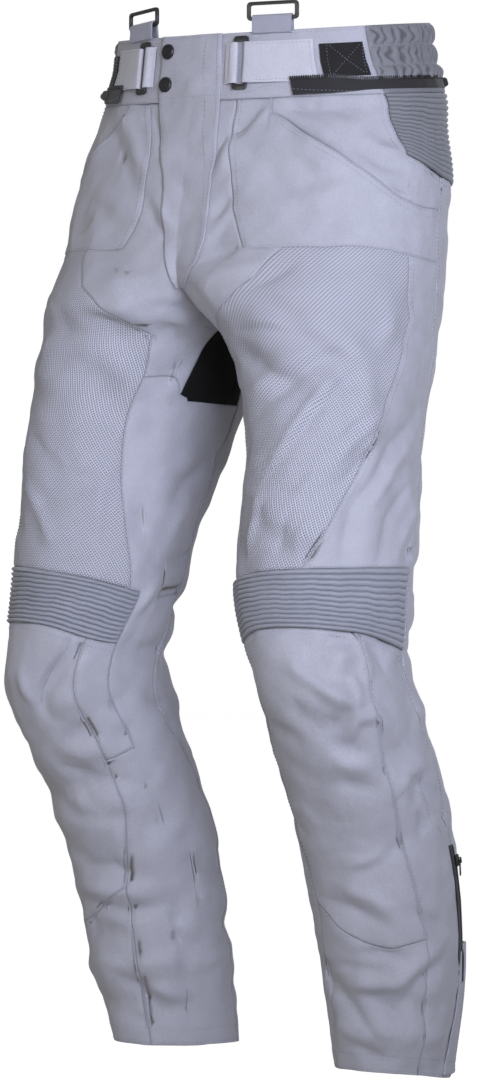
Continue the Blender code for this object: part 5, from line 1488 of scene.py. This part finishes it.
def make_zip_teeth(tree):
    """Teeth on the zip round the back, its end pieces, and the coils of the leg zips."""
    teeth = zip_teeth(tape_rim(), CONNECTION_PITCH, CONNECTION_TOOTH)
    ends = bmesh.new()
    for side, label in SIDES:
        columns, rows = grid_at(side, [ZIP_END_ANGLES[label]], [ZIP_END_LEVEL])
        place, outward = on_cloth(tree, side, columns, rows, 0.02)[0]
        beside = Vector((0, 0, 1)).cross(outward).normalized()
        for shift, size in ZIP_END_BLOCKS:
            middle = place + beside * shift * side + outward * ZIP_END_OUT
            block(ends, middle, beside, outward, size, 0.72)
    bmesh.ops.bevel(ends, geom=ends.edges[:], offset=0.0009, segments=2, affect="EDGES")
    from_shape("connection_zip_teeth", teeth, "black_plastic")
    from_shape("connection_zip_ends", ends, "black_plastic")
    for side, label in SIDES:
        level = np.linspace(*COIL_LEVELS, 60)
        columns, rows = grid_at(side, line_angle("outseam", level), level)
        coil = zip_teeth(on_cloth(tree, side, columns, rows, 0.004), COIL_PITCH, COIL_TOOTH)
        from_shape(f"leg_zip_{label}_coil", coil, "black_plastic")


def make_snaps(tree):
    for name in ("snap_upper", "snap_lower"):
        low, high = [Vector(corner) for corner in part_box(name)]
        place, normal, _, _ = tree.find_nearest((low + high) / 2)
        if normal.y > 0:
            normal = -normal
        shape = bmesh.new()
        beside = normal.cross(Vector((0, 0, 1))).normalized()
        up = beside.cross(normal).normalized()
        rings = []
        for radius, rise in SNAP_PROFILE:
            middle = place + normal * (rise + SNAP_OUT)
            turns = [2 * math.pi * k / SNAP_SIDES for k in range(SNAP_SIDES if radius else 1)]
            rings.append([shape.verts.new(middle + (beside * math.cos(turn) + up * math.sin(turn)) * radius)
                          for turn in turns])
        for k in range(SNAP_SIDES):
            after = (k + 1) % SNAP_SIDES
            shape.faces.new([rings[0][0], rings[1][k], rings[1][after]])
            for near, far in zip(rings[1:], rings[2:]):
                shape.faces.new([near[k], far[k], far[after], near[after]])
        shape.faces.new(rings[-1][::-1])
        bmesh.ops.recalc_face_normals(shape, faces=shape.faces)
        from_shape(f"{name}_cap", shape, "snap_metal", name, 60)


def make_trim_stitches(tree):
    """Stitches on the elastic, the straps and the patches."""
    for side, label in SIDES:
        thread, light = Thread(), Thread()
        ring, strap_end, tape_start, tape_end = ADJUSTERS[label]

        def line(made, angles, levels, count=40, length=STITCH):
            share = np.linspace(0, 1, count)
            columns, rows = grid_at(side, angles[0] + (angles[1] - angles[0]) * share,
                                    levels[0] + (levels[1] - levels[0]) * share)
            made.run(on_cloth(tree, side, columns, rows, 0.02), length)

        for level in ELASTIC_CHANNELS[1:-1]:
            line(thread, ELASTIC_ANGLES, (level, level), 60)
        for level in (0.0185, -0.0185):
            line(thread, (ring + 4, strap_end - 1), (level, level))
        line(thread, (strap_end - 1.2, strap_end - 1.2), (0.018, -0.018))
        for levels in ((0.0135, -0.0165), (-0.0165, 0.0135)):
            line(light, (tape_start + 3.5, tape_end - 1.5), levels, 30, SHORT_STITCH)
        for edge in (tape_start + 2.6, tape_end - 0.8):
            line(light, (edge, edge), (0.0145, -0.0165), 30, SHORT_STITCH)
        light.finish(f"patch_stitching_{label}", "light_thread")
        thread.finish(f"trim_stitching_{label}")


def make_camera():
    turn = math.radians(AZIMUTH)
    data = bpy.data.cameras.new("camera")
    data.sensor_fit = "VERTICAL"
    data.sensor_height = SENSOR * 1000
    data.lens = SENSOR * 1000 * PIXELS_PER_METRE * CAMERA_DISTANCE / PICTURE_HEIGHT
    data.shift_x = -AXIS_FROM_MIDDLE / PICTURE_HEIGHT
    data.clip_end = 60
    camera = bpy.data.objects.new("camera", data)
    bpy.context.scene.collection.objects.link(camera)
    camera.location = (math.sin(turn) * CAMERA_DISTANCE, -math.cos(turn) * CAMERA_DISTANCE, CAMERA_HEIGHT)
    camera.rotation_euler = (math.radians(90), 0, turn)
    bpy.context.scene.camera = camera


def make_studio():
    """A pale floor, a white surround and soft light from near the camera."""
    turn = math.radians(AZIMUTH)
    axes = Matrix(((math.sin(turn), -math.cos(turn), 0), (math.cos(turn), math.sin(turn), 0), (0, 0, 1)))
    for name, place, aim, size, power_watts, colour, spread in LIGHTS:
        data = bpy.data.lights.new(name, "AREA")
        data.size = size
        data.energy = power_watts
        data.color = colour
        data.spread = math.radians(spread)
        light = bpy.data.objects.new(name, data)
        bpy.context.scene.collection.objects.link(light)
        light.location = axes.transposed() @ Vector(place)
        light.rotation_euler = (Vector(aim) - light.location).to_track_quat("-Z", "Y").to_euler()
    floor = bmesh.new()
    bmesh.ops.create_grid(floor, x_segments=2, y_segments=2, size=30,
                          matrix=Matrix.Translation((0, 0, FLOOR_HEIGHT)))
    mesh = bpy.data.meshes.new("floor")
    floor.to_mesh(mesh)
    floor.free()
    shader = Shader("floor", 0.9)
    pale = shader.ramp(shader.noise(0.6), (0.94, 0.94, 0.95), (0.97, 0.97, 0.98), 0.3, 0.7)
    shader.main.inputs["Base Color"].default_value = (0.12, 0.12, 0.12, 1)
    shader.link("Emission Color", pale)
    shader.main.inputs["Emission Strength"].default_value = 1.0
    mesh.materials.append(shader.material)
    plane = bpy.data.objects.new("floor", mesh)
    plane.visible_diffuse = False
    plane.visible_glossy = False
    bpy.context.scene.collection.objects.link(plane)
    world = bpy.data.worlds.new("surround")
    bpy.context.scene.world = world
    world.use_nodes = True
    tree = world.node_tree
    white = tree.nodes["Background"]
    white.inputs["Color"].default_value = (1, 1, 1, 1)
    white.inputs["Strength"].default_value = 1.0
    ambient = tree.nodes.new("ShaderNodeBackground")
    ambient.inputs["Color"].default_value = (*AMBIENT_COLOUR, 1)
    ambient.inputs["Strength"].default_value = AMBIENT_STRENGTH
    path = tree.nodes.new("ShaderNodeLightPath")
    mix = tree.nodes.new("ShaderNodeMixShader")
    tree.links.new(path.outputs["Is Camera Ray"], mix.inputs[0])
    tree.links.new(ambient.outputs[0], mix.inputs[1])
    tree.links.new(white.outputs[0], mix.inputs[2])
    tree.links.new(mix.outputs[0], tree.nodes["World Output"].inputs["Surface"])
    bpy.context.scene.view_settings.view_transform = "Standard"


make_camera()
make_studio()
make_panels()
make_waistband()
for flap_side, flap_label in SIDES:
    hem_flap(flap_side, flap_label)
make_trims()
make_hard_parts()
TREE = cloth_tree()
make_seams(TREE)
make_trim_stitches(TREE)
make_zip_teeth(TREE)
make_snaps(TREE)
